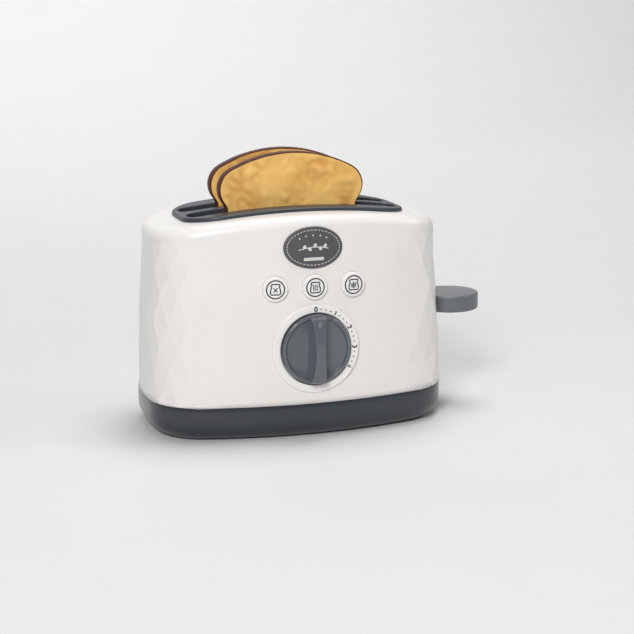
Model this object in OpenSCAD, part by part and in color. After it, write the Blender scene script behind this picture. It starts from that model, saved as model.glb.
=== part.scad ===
// Toy pop-up toaster: faceted one-piece shell on a dark base, clockwork timer, sprung bread lift,
// three press buttons and two loose toy bread slices.
// +X is the lever's end, -Y the front, +Z up. The origin is on the table, under the body's middle.

/* [Body] */
// Width across the bowed ends, at the seam
body_w = 193; // [188:0.5:204]
// Depth from front to back, at the seam
body_d = 117.5; // [114:0.5:126]
// Height of the shell's crown above the table
body_h = 138; // [134:0.5:148]
// Plan radius of the bowed front and back
front_bow_r = 254; // [220:1:320]
// Plan radius of the bowed ends
end_bow_r = 250; // [200:5:400]
// Plan radius of the upright corners
corner_r = 36; // [30:0.5:40]
// Radius of the walls' slow inward bow, seen from the side
wall_bow_r = 1100; // [900:10:3000]
// Radius of the side-to-side arch of the top
crown_r = 500; // [400:10:900]
// Rounding of the edge between walls and top
top_edge_r = 7.5; // [6:0.5:9]
// Wall thickness of the shell and base
wall = 2.4; // [2:0.1:2.8]

/* [Faceted ends] */
// Half width of the plain middle of front and back
smooth_x = 56; // [50:1:60]
// Facet columns round each end
facet_cols = 10; // [8:1:14]
// Facet rows up each end
facet_rows = 6; // [4:1:8]
// Depth of the facet relief
facet_relief = 1.1; // [0.4:0.1:1.2]

/* [Base] */
// Height of the dark base up to the seam
base_h = 22; // [20:0.5:26]
// Rounding of the base's lower edge
base_edge_r = 12; // [8:0.5:14]
// Height of the tongue that centres the shell on the base
tongue_h = 3; // [2:0.5:4]

/* [Bread slots] */
// Length of each bread slot
slot_len = 136; // [126:1:138]
// Width of each bread slot
slot_w = 17; // [15:0.5:17.5]
// Distance between the slots' middles
slot_pitch = 24; // [22.5:0.5:25]
// Height of the tray's rim above the shell
rim_h = 2.3; // [1.8:0.1:3]
// Width of the tray's rim outside the slots, at the ends
rim_end = 4; // [4:0.5:5]
// Width of the tray's rim outside the slots, front and back
rim_side = 14.5; // [13:0.5:15]
// Corner radius of the tray
tray_r = 24; // [16:1:28]

/* [Bread] */
// Width of a slice below its lobes
slice_w = 84.5; // [78:0.5:88]
// Height of a slice
slice_h = 84; // [76:1:86]
// Thickness of a slice
slice_t = 8; // [6:0.5:9]
// Radius of the two lobes at the top of a slice
lobe_r = 13.5; // [12:0.5:16]
// Height of a slice that stands above the shell's crown
slice_show = 35; // [30:1:38]
// Sideways place of the slices in the long slots
slice_x = -1.5; // [-8:0.5:8]

/* [Lever] */
// Radius of the lever's round paddle
paddle_r = 19.5; // [15:0.5:20]
// Thickness of the paddle
paddle_t = 10.8; // [9:0.2:12]
// Height of the paddle's middle, raised
lever_z = 68.8; // [66:0.2:72]
// How far the paddle's middle stands out from the end wall
lever_out = 15; // [13:0.5:18]
// How far the lever is pressed down
lift_travel = 33; // [26:0.5:34]
// Width of the lever's neck
neck_w = 5; // [4:0.5:6]
// Height of the lever's neck
neck_h = 6; // [5:0.5:7]

/* [Dial] */
// Height of the dial's middle, as a share of the white front's
dial_at = 0.2975; // [0.28:0.0025:0.31]
// Radius of the raised dial ring
dial_r = 27.5; // [26:0.5:30]
// Height of the ring in front of the wall
dial_out = 1.5; // [1:0.1:2.5]
// Radius of the knob
knob_r = 21.8; // [18:0.2:23]
// Width of the knob's grip bar at its ends
grip_w = 9; // [7:0.5:11]
// How far the middle of the grip stands out
grip_out = 12.6; // [10:0.2:15]

/* [Buttons and badge] */
// Height of the buttons' middles, as a share of the white front's
button_at = 0.6275; // [0.61:0.0025:0.64]
// Distance between neighbouring buttons
button_pitch = 24.9; // [22:0.1:28]
// Radius of a button cap
button_r = 7.75; // [6.5:0.05:8.5]
// How far a button stands out
button_out = 2.6; // [2.2:0.1:4]
// How far a button is pressed
button_travel = 2; // [1:0.1:2]
// Height of the badge's middle, as a share of the white front's
badge_at = 0.835; // [0.825:0.0025:0.835]
// Width of the oval badge
badge_w = 37.5; // [30:0.5:42]
// Height of the oval badge
badge_h = 25.5; // [20:0.5:26]
// Thickness of the badge
badge_t = 1.6; // [1:0.1:2]

/* [Lift and latch] */
// Radius of the two guide rods
rod_r = 2; // [1.6:0.1:2.4]
// Distance of each rod from the middle plane
rod_y = 15; // [12:0.5:16]
// Radius of the lift springs' coils
spring_r = 3; // [2.4:0.1:3.4]
// Wire radius of the lift springs
spring_wire_r = 0.45; // [0.3:0.05:0.6]
// Turns of each lift spring
spring_turns = 7; // [5:1:9]
// Swing of the latch, in degrees
latch_swing = 8; // [6:0.5:9]

/* [Timer] */
// Tooth size (pitch diameter divided by teeth)
gear_module = 0.9; // [0.8:0.05:0.95]
// Teeth of the main wheel on the spindle
main_teeth = 32; // [28:1:34]
// Teeth of the middle arbor's pinion
mid_pinion_teeth = 10; // [8:1:11]
// Teeth of the middle arbor's wheel
mid_teeth = 20; // [18:1:24]
// Teeth of the fan arbor's pinion
fan_pinion_teeth = 14; // [12:1:15]
// Turns of the flat mainspring
mainspring_turns = 5; // [3:1:6]

/* [Fits] */
// Running clearance of shafts in bores, on the radius
run_gap = 0.06; // [0.03:0.01:0.1]
// Clearance round sliding plastic pieces
slide_gap = 0.3; // [0.2:0.05:0.4]
// Clearance round pieces that are dropped in and screwed down
seat_gap = 0.2; // [0.1:0.05:0.3]
// Shank radius of the self-tapping screws
screw_r = 1.3; // [1:0.1:1.5]

/* [Hidden] */
$fn = 64;

WHITE = [0.90, 0.88, 0.86];
SLATE = [0.21, 0.23, 0.25];
LEVER_GREY = [0.42, 0.44, 0.46];
FRAME_GREY = [0.55, 0.56, 0.58];
METAL = [0.75, 0.75, 0.78];
BRASS = [0.80, 0.68, 0.38];
CRUMB = [0.88, 0.71, 0.42];

past = 1;          // how far a cut runs past a face
snug = 0.02;       // clearance of pins and rods that stay in their holes
seam_z = base_h;

// ---- plan outline: three tangent arcs in each quarter ----
front_c = front_bow_r - body_d / 2;
end_c = end_bow_r - body_w / 2;
bow_axis_y = front_c;
arc_span = norm([end_c, front_c]);
arc_u = [-end_c, front_c] / arc_span;
front_reach = front_bow_r - corner_r;
end_reach = end_bow_r - corner_r;
arc_along = (pow(front_reach, 2) - pow(end_reach, 2) + pow(arc_span, 2)) / (2 * arc_span);
arc_across = sqrt(pow(front_reach, 2) - pow(arc_along, 2));
corner_c = [0, -front_c] + arc_along * arc_u + arc_across * [arc_u.y, -arc_u.x];
end_a = atan2(corner_c.y, corner_c.x + end_c);
front_a = atan2(corner_c.y + front_c, corner_c.x);
smooth_a = acos(smooth_x / front_bow_r);

function quarter_point(a, inset) =
    a < end_a
    ? [-end_c + (end_bow_r - inset) * cos(a), (end_bow_r - inset) * sin(a)]
    : a < front_a
    ? corner_c + (corner_r - inset) * [cos(a), sin(a)]
    : [(front_bow_r - inset) * cos(a), -front_c + (front_bow_r - inset) * sin(a)];

// Point of the outline whose outward normal has the angle a
function plan_point(a, inset) =
    let (q = quarter_point(atan2(abs(sin(a)), abs(cos(a))), inset))
    [sign(cos(a)) * q.x, sign(sin(a)) * q.y];

// Lengths of the end arc, the corner and the rest of the front up to smooth_x
reach = [
    end_bow_r * end_a,
    corner_r * (front_a - end_a),
    front_bow_r * (smooth_a - front_a)
];
reach_all = reach[0] + reach[1] + reach[2];

// Normal angle at a share f (-1 to 1) of the way round an end
function end_angle(f) =
    let (s = abs(f) * reach_all)
    sign(f) * (
        s < reach[0] ? s / end_bow_r
        : s < reach[0] + reach[1] ? end_a + (s - reach[0]) / corner_r
        : front_a + (s - reach[0] - reach[1]) / front_bow_r
    );

// ---- heights ----
function wall_inset(z) = pow(z - seam_z, 2) / (2 * wall_bow_r);
function crown_z(x) = body_h - crown_r + sqrt(pow(crown_r, 2) - pow(x, 2));
function front_y(z) = -body_d / 2 + wall_inset(z);
function end_x(z) = body_w / 2 - wall_inset(z);

// ---- rings of points and the skin between them ----
FINE = 0;
EVEN = 1;
ODD = 2;
outer_sub = 4;      // fine segments for each facet column
inner_sub = 2;
outer_mid = 21;     // points along the plain front, between its ends
inner_mid = 9;

function end_shares(kind, sub) =
    kind == ODD
    ? concat([-1], [for (i = [0 : facet_cols - 1]) -1 + (2 * i + 1) / facet_cols], [1])
    : let (n = kind == FINE ? facet_cols * sub : facet_cols) [for (i = [0 : n]) -1 + 2 * i / n];

// Every point of a ring: [normal angle, place along the ring from 0 to 4]
function ring_marks(kind, sub, mid) =
    let (
        shares = end_shares(kind, sub),
        plain = [for (q = [1 : mid]) q / (mid + 1)],
        sweep = 180 - 2 * smooth_a
    )
    concat(
        [for (f = shares) [end_angle(f), (f + 1) / 2]],
        [for (q = plain) [smooth_a + sweep * q, 1 + q]],
        [for (f = shares) [180 + end_angle(f), 2 + (f + 1) / 2]],
        [for (q = plain) [180 + smooth_a + sweep * q, 3 + q]]
    );

function next_mark(marks, i) = i + 1 < len(marks) ? marks[i + 1][1] : 4;

// Triangles between two rings, walked side by side
function skin(low, high, low_at, high_at) =
    let (nl = len(low), nh = len(high))
    [
        for (
            i = 0, j = 0, step = next_mark(low, 0) <= next_mark(high, 0);
            i + j < nl + nh;
            i = step ? i + 1 : i,
            j = step ? j : j + 1,
            step = j >= nh || (i < nl && next_mark(low, i) <= next_mark(high, j))
        )
        step
        ? [low_at + i % nl, high_at + j % nh, low_at + (i + 1) % nl]
        : [low_at + i % nl, high_at + j % nh, high_at + (j + 1) % nh]
    ];

// Index of a ring point's twin across the middle plane
function twin(i, n, end_n) = i <= end_n ? end_n - i : n + end_n - i;

// Strips that close the top ring from back to front
function cap_faces(n, end_n, at) =
    [
        for (i = [end_n / 2 : end_n / 2 + n / 2 - 1])
        let (a = at + i, b = at + i + 1, am = at + twin(i, n, end_n), bm = at + twin(i + 1, n, end_n))
        each [if (a != am) [a, am, b], if (b != bm) [b, am, bm]]
    ];

function sum_before(sizes, i) = i == 0 ? 0 : sizes[i - 1] + sum_before(sizes, i - 1);

// Closed solid through rings that all follow the plan outline, from the lowest up
module stack(rings, marks, end_n) {
    sizes = [for (r = rings) len(r)];
    last = len(rings) - 1;
    starts = [for (i = [0 : last]) sum_before(sizes, i)];
    sides = [for (i = [0 : last - 1]) each skin(marks[i], marks[i + 1], starts[i], starts[i + 1])];
    bottom = [[for (i = [0 : sizes[0] - 1]) i]];
    polyhedron(
        points = [for (r = rings) each r],
        faces = concat(bottom, sides, cap_faces(sizes[last], end_n, starts[last]))
    );
}

function share_noise(i) = let (s = sin(i * 127.1 + 31.7) * 437.585) s - floor(s);

function top_ref_x(a) = plan_point(a, top_edge_r).x;
function wall_top_z(a) = crown_z(top_ref_x(a)) - top_edge_r;

// A facet corner lies inside an end, not on its border with the plain front
function on_relief(kind, place) = kind != FINE && place % 2 > 0.01 && place % 2 < 0.99;

function wall_point(a, share, inset) =
    let (z = seam_z + share * (wall_top_z(a) - seam_z), p = plan_point(a, wall_inset(z) + inset))
    [p.x, p.y, z];

function wall_ring(kind, marks, share) =
    [
        for (i = [0 : len(marks) - 1])
        let (
            relief = on_relief(kind, marks[i][1]),
            seed = i + 40 * round(share * 50),
            row_shift = relief ? 0.05 * (share_noise(seed + 7) - 0.5) : 0,
            depth = relief ? facet_relief * share_noise(seed) : 0
        )
        wall_point(marks[i][0], share + row_shift, depth)
    ];

// Ring on the rounding between walls and top; turn goes from 0 (wall) to 90 (top)
function edge_ring(marks, turn, inset, edge_r) =
    [
        for (m = marks)
        let (
            z = wall_top_z(m[0]),
            p = plan_point(m[0], wall_inset(z) + inset + edge_r * (1 - cos(turn)))
        )
        [p.x, p.y, z + edge_r * sin(turn)]
    ];

first_facets = 0.03;   // share of the wall below and above the facet rows
module shell_outside() {
    fine = ring_marks(FINE, outer_sub, outer_mid);
    even = ring_marks(EVEN, outer_sub, outer_mid);
    odd = ring_marks(ODD, outer_sub, outer_mid);
    turns = [0 : 15 : 90];
    rows = [
        for (k = [0 : facet_rows])
        [k % 2 == 0 ? EVEN : ODD, first_facets + (1 - 2 * first_facets) * k / facet_rows]
    ];
    rings = concat(
        [wall_ring(FINE, fine, 0)],
        [for (r = rows) wall_ring(r[0], r[0] == EVEN ? even : odd, r[1])],
        [for (b = turns) edge_ring(fine, b, 0, top_edge_r)]
    );
    marks = concat([fine], [for (r = rows) r[0] == EVEN ? even : odd], [for (b = turns) fine]);
    stack(rings, marks, facet_cols * outer_sub);
}

module shell_inside() {
    marks = ring_marks(FINE, inner_sub, inner_mid);
    turns = [0 : 30 : 90];
    shares = [-0.01, 0.25, 0.5, 0.75];
    rings = concat(
        [for (s = shares) [for (m = marks) wall_point(m[0], s, wall)]],
        [for (b = turns) edge_ring(marks, b, wall, top_edge_r - wall)]
    );
    stack(rings, [for (r = rings) marks], facet_cols * inner_sub);
}

// Plain outline at one inset, as a flat shape
module plan(inset) {
    polygon([for (m = ring_marks(FINE, inner_sub, inner_mid)) plan_point(m[0], inset)]);
}

module rounded_plate(w, d, r) {
    square([w - 2 * r, d], center = true);
    square([w, d - 2 * r], center = true);
    for (x = [-1, 1], y = [-1, 1]) translate([x * (w / 2 - r), y * (d / 2 - r)]) circle(r);
}

// Solid bar with its axis along Y, from y0 to y1
module bar_y(r, y0, y1) {
    translate([0, y0, 0]) rotate([-90, 0, 0]) cylinder(r = r, h = y1 - y0);
}

// Everything below the arch that lies rise above the crown's arch
module under_arch(rise) {
    translate([0, -body_d, body_h - crown_r])
        rotate([-90, 0, 0]) cylinder(r = crown_r + rise, h = 2 * body_d, $fn = 180);
}

// ---- places on the bowed front ----
front_h = body_h - seam_z;
dial_z = seam_z + front_h * dial_at;
button_z = seam_z + front_h * button_at;
badge_z = seam_z + front_h * badge_at;
button_inset = wall_inset(button_z);
button_bow = front_bow_r - button_inset;
button_turn = asin(button_pitch / front_bow_r);
// Local frame at a button: the wall's face is y = 0, and +Y goes inwards
module at_button(k) {
    translate([0, bow_axis_y, button_z]) rotate([0, 0, k * button_turn])
        translate([0, -button_bow, 0]) children();
}

dial_y = front_y(dial_z);
ring_face_y = dial_y - dial_out;
well_sunk = 0.6;
well_floor_y = dial_y + well_sunk;
knob_gap = 1;
knob_back = 0.4;
socket_y = dial_y - 9;
spindle_flat = 0.7;
boss_back_y = dial_y + wall + pow(dial_r, 2) / (2 * front_bow_r);
spindle_r = 2.4;

// ---- tray and slots ----
tray_w = slot_len + 2 * rim_end;
tray_d = slot_pitch + slot_w + 2 * rim_side;
tray_flange = 2.5;
plug_w = tray_w - 2 * tray_flange;
plug_d = tray_d - 2 * tray_flange;
plug_r = tray_r - 2 * tray_flange;
skirt_t = 1.6;
deck_drop = 1.1;
deck_t = 2.2;
slot_r = 5;

// ---- frame ----
frame_t = 2;
latch_t = 2.5;
latch_gap = 1;
latch_room = latch_t + latch_gap;
well_half_x = slot_len / 2 + skirt_t + seat_gap;
well_half_y = (slot_pitch + slot_w) / 2 + skirt_t + seat_gap;
frame_x = well_half_x + frame_t;
frame_y = well_half_y + frame_t;
frame_z0 = 8;
frame_z1 = crown_z(frame_x) - wall - 3.4;
skirt_z0 = frame_z1 - 6;
window_z0 = 42;
window_z1 = 104;
window_w = 18;
window_bar = 4;
tab_x = 50;
tab_w = 12;
tab_d = 10;
tab_t = 3;
tab_boss_r = 3.4;
tab_y = frame_y + tab_d / 2;

// ---- tongue, and posts that join shell and base ----
tongue_foot_h = 4;
post_r = 4;
post_clear = 2;
post_x = corner_c.x + 5.2;
post_y = frame_y + latch_room + post_clear + post_r;
post_a = atan2(post_y - corner_c.y, post_x - corner_c.x);
post_reach = norm([post_x, post_y] - corner_c);
post_h = 26;
case_head_r = 2.7;
case_head_z = 9;
head_t = 1.8;
small_head_r = 2.4;

// ---- carriage, rods, lift ----
end_wall_x = end_x(lever_z);
cradle_top = body_h + slice_show - slice_h - seat_gap;
cradle_w = 5;
cradle_t = 4;
prong_t = 1.6;
prong_h = 10;
prong_len = 6;
prong_gap = 0.5;
prong_places = [-60, -30, 0, 30, 54];
plate_t = 2.5;
plate_x = frame_x + 1.6;
plate_half_y = 22;
plate_z0 = 60;
plate_z1 = cradle_top + 3;
rod_x = plate_x + plate_t + 3.2;
sleeve_r = rod_r + 1.8;
sleeve_z0 = plate_z0 + 3;
sleeve_z1 = plate_z1 - 1;
lug_t = 3;
lug_z0 = frame_z1 - 15;
lug_x1 = rod_x + rod_r + 1.6;
lug_half_y = 27;
rod_z0 = wall + 3;
rod_boss_r = rod_r + 2;
rod_boss_h = 10;
spring_y = rod_y + sleeve_r + spring_r + spring_wire_r + 1.4;
ledge_t = 2;
ledge_z1 = cradle_top - 1;
neck_x1 = end_wall_x + 8;
lever_cut_w = neck_w + 1.2;
lever_cut_end = 0.8;
lever_screw_x = neck_x1 - 3.5;
lever_head_r = 2.3;
lever_head_t = 0.8;

// ---- paddle ----
paddle_x = end_wall_x + lever_out;
paddle_flat_x = end_wall_x + 1.6;
paddle_edge = 0.9;

// ---- latch ----
catch_t = 4;
catch_d = 6;
latch_y1 = -frame_y - latch_gap;
latch_y0 = latch_y1 - latch_t;
latch_pin_x = 68;
latch_pin_z = 17;
latch_pin_r = 1.5;
latch_arm_w = 4;
latch_boss_r = 3.4;
nose_x1 = plate_x - 0.6;
nose_lift = plate_z0 + catch_t - lift_travel;
nose_z0 = latch_pin_z
    + (nose_lift + 0.3 - latch_pin_z + (nose_x1 - latch_pin_x) * sin(latch_swing)) / cos(latch_swing);
nose_h = 4.5;
tail_x = 22;
tail_top = 28.5;
tail_finger = 4;
tail_finger_h = 3;

// ---- timer ----
timer_t = 1.6;
timer_depth = 16.4;
timer_gap = 5;
cover_t = 1.6;
arbor_r = 1;
stub_r = 1.5;       // rear end of the spindle
wheel_t = 2;
wheel_room = 2;
pinion_extra = 0.5;
blade_r = 7;
blade_t = 0.8;
blade_w = 2.5;
blade_room = 0.6;
spring_strip_w = 4;
spring_strip_t = 0.5;
main_r = gear_module * main_teeth / 2;
mid_pinion_r = gear_module * mid_pinion_teeth / 2;
mid_r = gear_module * mid_teeth / 2;
fan_pinion_r = gear_module * fan_pinion_teeth / 2;
mesh_slack = 0.1;
mid_x = main_r + mid_pinion_r + mesh_slack;
mid_z = dial_z;
fan_a = -40;
fan_x = mid_x + (mid_r + fan_pinion_r + mesh_slack) * cos(fan_a);
fan_z = mid_z + (mid_r + fan_pinion_r + mesh_slack) * sin(fan_a);
timer_x0 = -main_r - wheel_room - timer_t;
timer_x1 = fan_x + blade_r + blade_room + timer_t;
timer_half_h = main_r + 2 * wheel_room + timer_t;
timer_z0 = dial_z - timer_half_h;
timer_z1 = dial_z + timer_half_h;
timer_y1 = -frame_y - timer_gap;
timer_y0 = timer_y1 - timer_depth;
main_y = timer_y0 + 3.6;
mid_wheel_y = timer_y0 + 7.2;
fan_wheel_y = timer_y0 + 11;
mainspring_y = timer_y0 + 9.6;
ear_r = 3.6;
ears = [[timer_x0 + 5, timer_z1 + 3], [timer_x1 - 5, timer_z1 + 3]];
cover_screw_t = 1.4;

// ---- bread ----
slice_z0 = body_h + slice_show - slice_h;
lobe_out = 4.85;     // lobes past the sides
lobe_shoulder = 8.5; // top of the lobes below the top of the slice
lobe_x = slice_w / 2 - lobe_r + lobe_out;
lobe_drop = lobe_r + lobe_shoulder;
lobe_z = slice_h - lobe_drop;
crust_r = (pow(lobe_x, 2) + pow(lobe_drop, 2) - pow(lobe_r, 2)) / (2 * lobe_shoulder);
crust_z = slice_h - crust_r;
slice_edge = 1.2;

// ================= sub-parts =================

module body_shell() {
    color(WHITE) difference() {
        union() {
            difference() {
                shell_outside();
                shell_inside();
            }
            translate([0, 0, dial_z]) bar_y(dial_r, ring_face_y, boss_back_y);
            for (x = [-1, 1], y = [-1, 1]) shell_post(x, y);
            for (k = [-0.5, 0.5]) at_button(k) bar_y(guide_boss_r, wall / 2, guide_y);
        }
        translate([0, 0, dial_z]) {
            bar_y(knob_r + knob_gap, ring_face_y - past, well_floor_y);
            bar_y(spindle_r + run_gap, well_floor_y - past, boss_back_y + past);
        }
        for (k = [-1 : 1]) at_button(k) {
            bar_y(button_r + seat_gap, -2 * past, 3 * wall);
            bar_y(flange_r + seat_gap, flange_y - seat_gap, 3 * wall);
        }
        for (k = [-0.5, 0.5]) at_button(k) bar_y(guide_screw_r, wall + 1, guide_y + past);
        for (x = [-1, 1], y = [-1, 1])
            translate([x * post_x, y * post_y, seam_z - past]) cylinder(r = screw_r + run_gap, h = post_h - 3);
        translate([0, 0, body_h / 2]) linear_extrude(body_h)
            rounded_plate(plug_w + 2 * seat_gap, plug_d + 2 * seat_gap, plug_r + seat_gap);
        translate([end_wall_x - 4 * wall, -lever_cut_w / 2, lever_z - lift_travel - neck_h / 2 - lever_cut_end])
            cube([8 * wall, lever_cut_w, lift_travel + neck_h + 2 * lever_cut_end]);
        badge_seat();
    }
}

module shell_post(x, y) {
    rib_t = 1.6;
    rib_z0 = seam_z + tongue_h + 1;
    rib_len = corner_r - 0.75 * wall - post_reach;
    translate([x * post_x, y * post_y, seam_z]) cylinder(r = post_r, h = post_h);
    mirror([x < 0 ? 1 : 0, 0, 0]) mirror([0, y < 0 ? 1 : 0, 0])
        translate([corner_c.x, corner_c.y, rib_z0]) rotate([0, 0, post_a])
            translate([post_reach, -rib_t / 2, 0]) cube([rib_len, rib_t, seam_z + post_h - rib_z0]);
}

module base() {
    marks = ring_marks(FINE, inner_sub, inner_mid);
    color(SLATE) {
        difference() {
            union() {
                difference() {
                    tub(marks, 0, 0, seam_z, base_edge_r);
                    tub(marks, wall, wall, seam_z + past, base_edge_r - wall);
                }
                tongue(wall + seat_gap, tongue_h);
                tongue(wall / 2, 0);
                for (x = [-1, 1], y = [-1, 1]) {
                    translate([x * post_x, y * post_y, wall / 2]) cylinder(r = post_r, h = seam_z - wall / 2);
                    translate([x * tab_x, y * tab_y, wall / 2]) cylinder(r = tab_boss_r, h = frame_z0 - wall / 2);
                }
                for (y = [-1, 1])
                    translate([rod_x, y * rod_y, wall / 2]) cylinder(r = rod_boss_r, h = rod_boss_h);
            }
            for (x = [-1, 1], y = [-1, 1]) {
                translate([x * post_x, y * post_y, -past]) cylinder(r = screw_r + seat_gap, h = seam_z + 2 * past);
                translate([x * post_x, y * post_y, -past]) cylinder(r = case_head_r + slide_gap, h = case_head_z + past);
                translate([x * tab_x, y * tab_y, wall]) cylinder(r = screw_r + run_gap, h = frame_z0);
            }
            for (y = [-1, 1])
                translate([rod_x, y * rod_y, rod_z0]) cylinder(r = rod_r + snug, h = base_h);
        }
    }
}

// Ring inside the base's wall, up to a height above the seam
module tongue(inset, up) {
    low = seam_z - tongue_foot_h;
    difference() {
        translate([0, 0, low]) linear_extrude(tongue_foot_h + up) plan(inset);
        translate([0, 0, low - past]) linear_extrude(tongue_foot_h + up + 2 * past) plan(2 * wall + seat_gap);
    }
}

// Closed tub shape with a rounded lower edge
module tub(marks, inset, z0, z1, edge_r) {
    turns = [90 : -15 : 0];
    rings = concat(
        [
            for (b = turns)
            [
                for (m = marks)
                let (p = plan_point(m[0], inset + edge_r * (1 - cos(b))))
                [p.x, p.y, z0 + edge_r * (1 - sin(b))]
            ]
        ],
        [[for (m = marks) let (p = plan_point(m[0], inset)) [p.x, p.y, z1]]]
    );
    stack(rings, [for (r = rings) marks], facet_cols * inner_sub);
}

module slot_outlines(grow) {
    for (y = [-1, 1]) translate([0, y * slot_pitch / 2])
        rounded_plate(slot_len + 2 * grow, slot_w + 2 * grow, slot_r + grow);
}

module slot_tray() {
    bead = [[0, 0.35], [0.5, 0.75], [1.4, 1]];
    color(SLATE) difference() {
        union() {
            difference() {
                union() {
                    // rim, stepped to follow its rounded bead
                    for (b = bead) intersection() {
                        translate([0, 0, body_h / 2]) linear_extrude(body_h)
                            rounded_plate(tray_w - 2 * b[0], tray_d - 2 * b[0], tray_r - b[0]);
                        under_arch(rim_h * b[1]);
                    }
                }
                under_arch(0);
            }
            difference() {
                intersection() {
                    translate([0, 0, body_h / 2]) linear_extrude(body_h) rounded_plate(plug_w, plug_d, plug_r);
                    under_arch(rim_h);
                }
                under_arch(rim_h - deck_drop - deck_t);
            }
            intersection() {
                translate([0, 0, skirt_z0]) linear_extrude(body_h) slot_outlines(skirt_t);
                under_arch(rim_h - deck_drop - deck_t / 2);
            }
        }
        // deck, sunk inside the rim
        difference() {
            translate([0, 0, body_h / 2]) linear_extrude(body_h)
                rounded_plate(tray_w - 2 * rim_end + 1, tray_d - 2 * rim_end - 3, tray_r - rim_end);
            under_arch(rim_h - deck_drop);
        }
        translate([0, 0, skirt_z0 - past]) linear_extrude(body_h) slot_outlines(0);
    }
}

function ellipse(w, h) = [for (a = [0 : 6 : 354]) [w / 2 * cos(a), h / 2 * sin(a)]];
badge_lean = atan((badge_z - seam_z) / wall_bow_r);
badge_sunk = 0.6;

module at_badge() {
    translate([0, front_y(badge_z), badge_z]) rotate([-badge_lean, 0, 0]) children();
}

module badge_block(grow, out_r, in_r) {
    at_badge() intersection() {
        translate([0, 4 * badge_t, 0]) rotate([90, 0, 0])
            linear_extrude(8 * badge_t) polygon(ellipse(badge_w + 2 * grow, badge_h + 2 * grow));
        translate([0, front_bow_r, -badge_h]) difference() {
            cylinder(r = out_r, h = 2 * badge_h, $fn = 180);
            translate([0, 0, -past]) cylinder(r = in_r, h = 2 * badge_h + 2 * past, $fn = 180);
        }
    }
}

module badge() {
    color(SLATE) badge_block(0, front_bow_r - badge_sunk + badge_t, front_bow_r - badge_sunk);
}

module badge_seat() {
    badge_block(seat_gap, front_bow_r + badge_t + past, front_bow_r - badge_sunk);
}

// Upright plate of the frame along X, with windows at the places xs
module frame_plate(y0, xs) {
    difference() {
        translate([-frame_x, y0, frame_z0]) cube([2 * frame_x, frame_t, frame_z1 - frame_z0]);
        for (x = xs) translate([x - window_w / 2, y0 - past, window_z0])
            cube([window_w, frame_t + 2 * past, window_z1 - window_z0]);
    }
}

// Feet of a frame plate, screwed to the base
module frame_tabs(y) {
    for (x = [-1, 1]) difference() {
        translate([x * tab_x - tab_w / 2, y > 0 ? frame_y - past : -frame_y - tab_d, frame_z0])
            cube([tab_w, tab_d + past, tab_t]);
        translate([x * tab_x, y * tab_y, frame_z0 - past]) cylinder(r = screw_r + seat_gap, h = tab_t + 2 * past);
    }
}

module frame_front() {
    color(FRAME_GREY) {
        frame_tabs(-1);
        difference() {
            union() {
                frame_plate(-frame_y, [-tab_x, window_w + window_bar - tab_x, timer_x1 + window_w]);
                for (e = ears) translate([e.x, 0, e.y]) bar_y(ear_r, timer_y1, -well_half_y);
                translate([latch_pin_x, 0, latch_pin_z]) bar_y(latch_boss_r, latch_y1 + slide_gap, -well_half_y);
            }
            for (e = ears) translate([e.x, 0, e.y]) bar_y(screw_r + run_gap, timer_y1 - past, -frame_y);
            translate([latch_pin_x, 0, latch_pin_z]) bar_y(latch_pin_r + snug, latch_y1 - past, past - well_half_y);
        }
    }
}

module frame_rear() {
    color(FRAME_GREY) {
        frame_tabs(1);
        frame_plate(well_half_y, [for (k = [-2 : 2]) k * tab_x / 2]);
    }
}

module frame_divider() {
    color(FRAME_GREY) translate([-well_half_x, -frame_t / 2, frame_z0])
        cube([2 * well_half_x, frame_t, frame_z1 - frame_z0]);
}

// End wall between front and rear plates, with the guide slots of the cradle bars
module frame_end(x0) {
    bar_cut = cradle_w + 2 * slide_gap;
    bar_low = cradle_top - cradle_t - lift_travel - 2 * slide_gap;
    difference() {
        translate([x0, -well_half_y, frame_z0]) cube([frame_t, 2 * well_half_y, frame_z1 - frame_z0]);
        for (y = [-1, 1]) translate([x0 - past, y * slot_pitch / 2 - bar_cut / 2, bar_low])
            cube([frame_t + 2 * past, bar_cut, lift_travel + cradle_t + 4 * slide_gap]);
    }
}

module frame_end_left() {
    color(FRAME_GREY) frame_end(-frame_x);
}

module frame_end_right() {
    color(FRAME_GREY) {
        frame_end(well_half_x);
        // lug over the rods and springs
        difference() {
            union() {
                translate([well_half_x, -well_half_y, lug_z0]) cube([lug_x1 - well_half_x, 2 * well_half_y, lug_t]);
                translate([plate_x, -lug_half_y, lug_z0]) cube([lug_x1 - plate_x, 2 * lug_half_y, lug_t]);
            }
            for (y = [-1, 1])
                translate([rod_x, y * rod_y, lug_z0 - past]) cylinder(r = rod_r + snug, h = lug_t + 2 * past);
        }
    }
}

module guide_rods() {
    color(METAL) for (y = [-1, 1])
        translate([rod_x, y * rod_y, rod_z0]) cylinder(r = rod_r, h = lug_z0 + lug_t - rod_z0);
}

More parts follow.
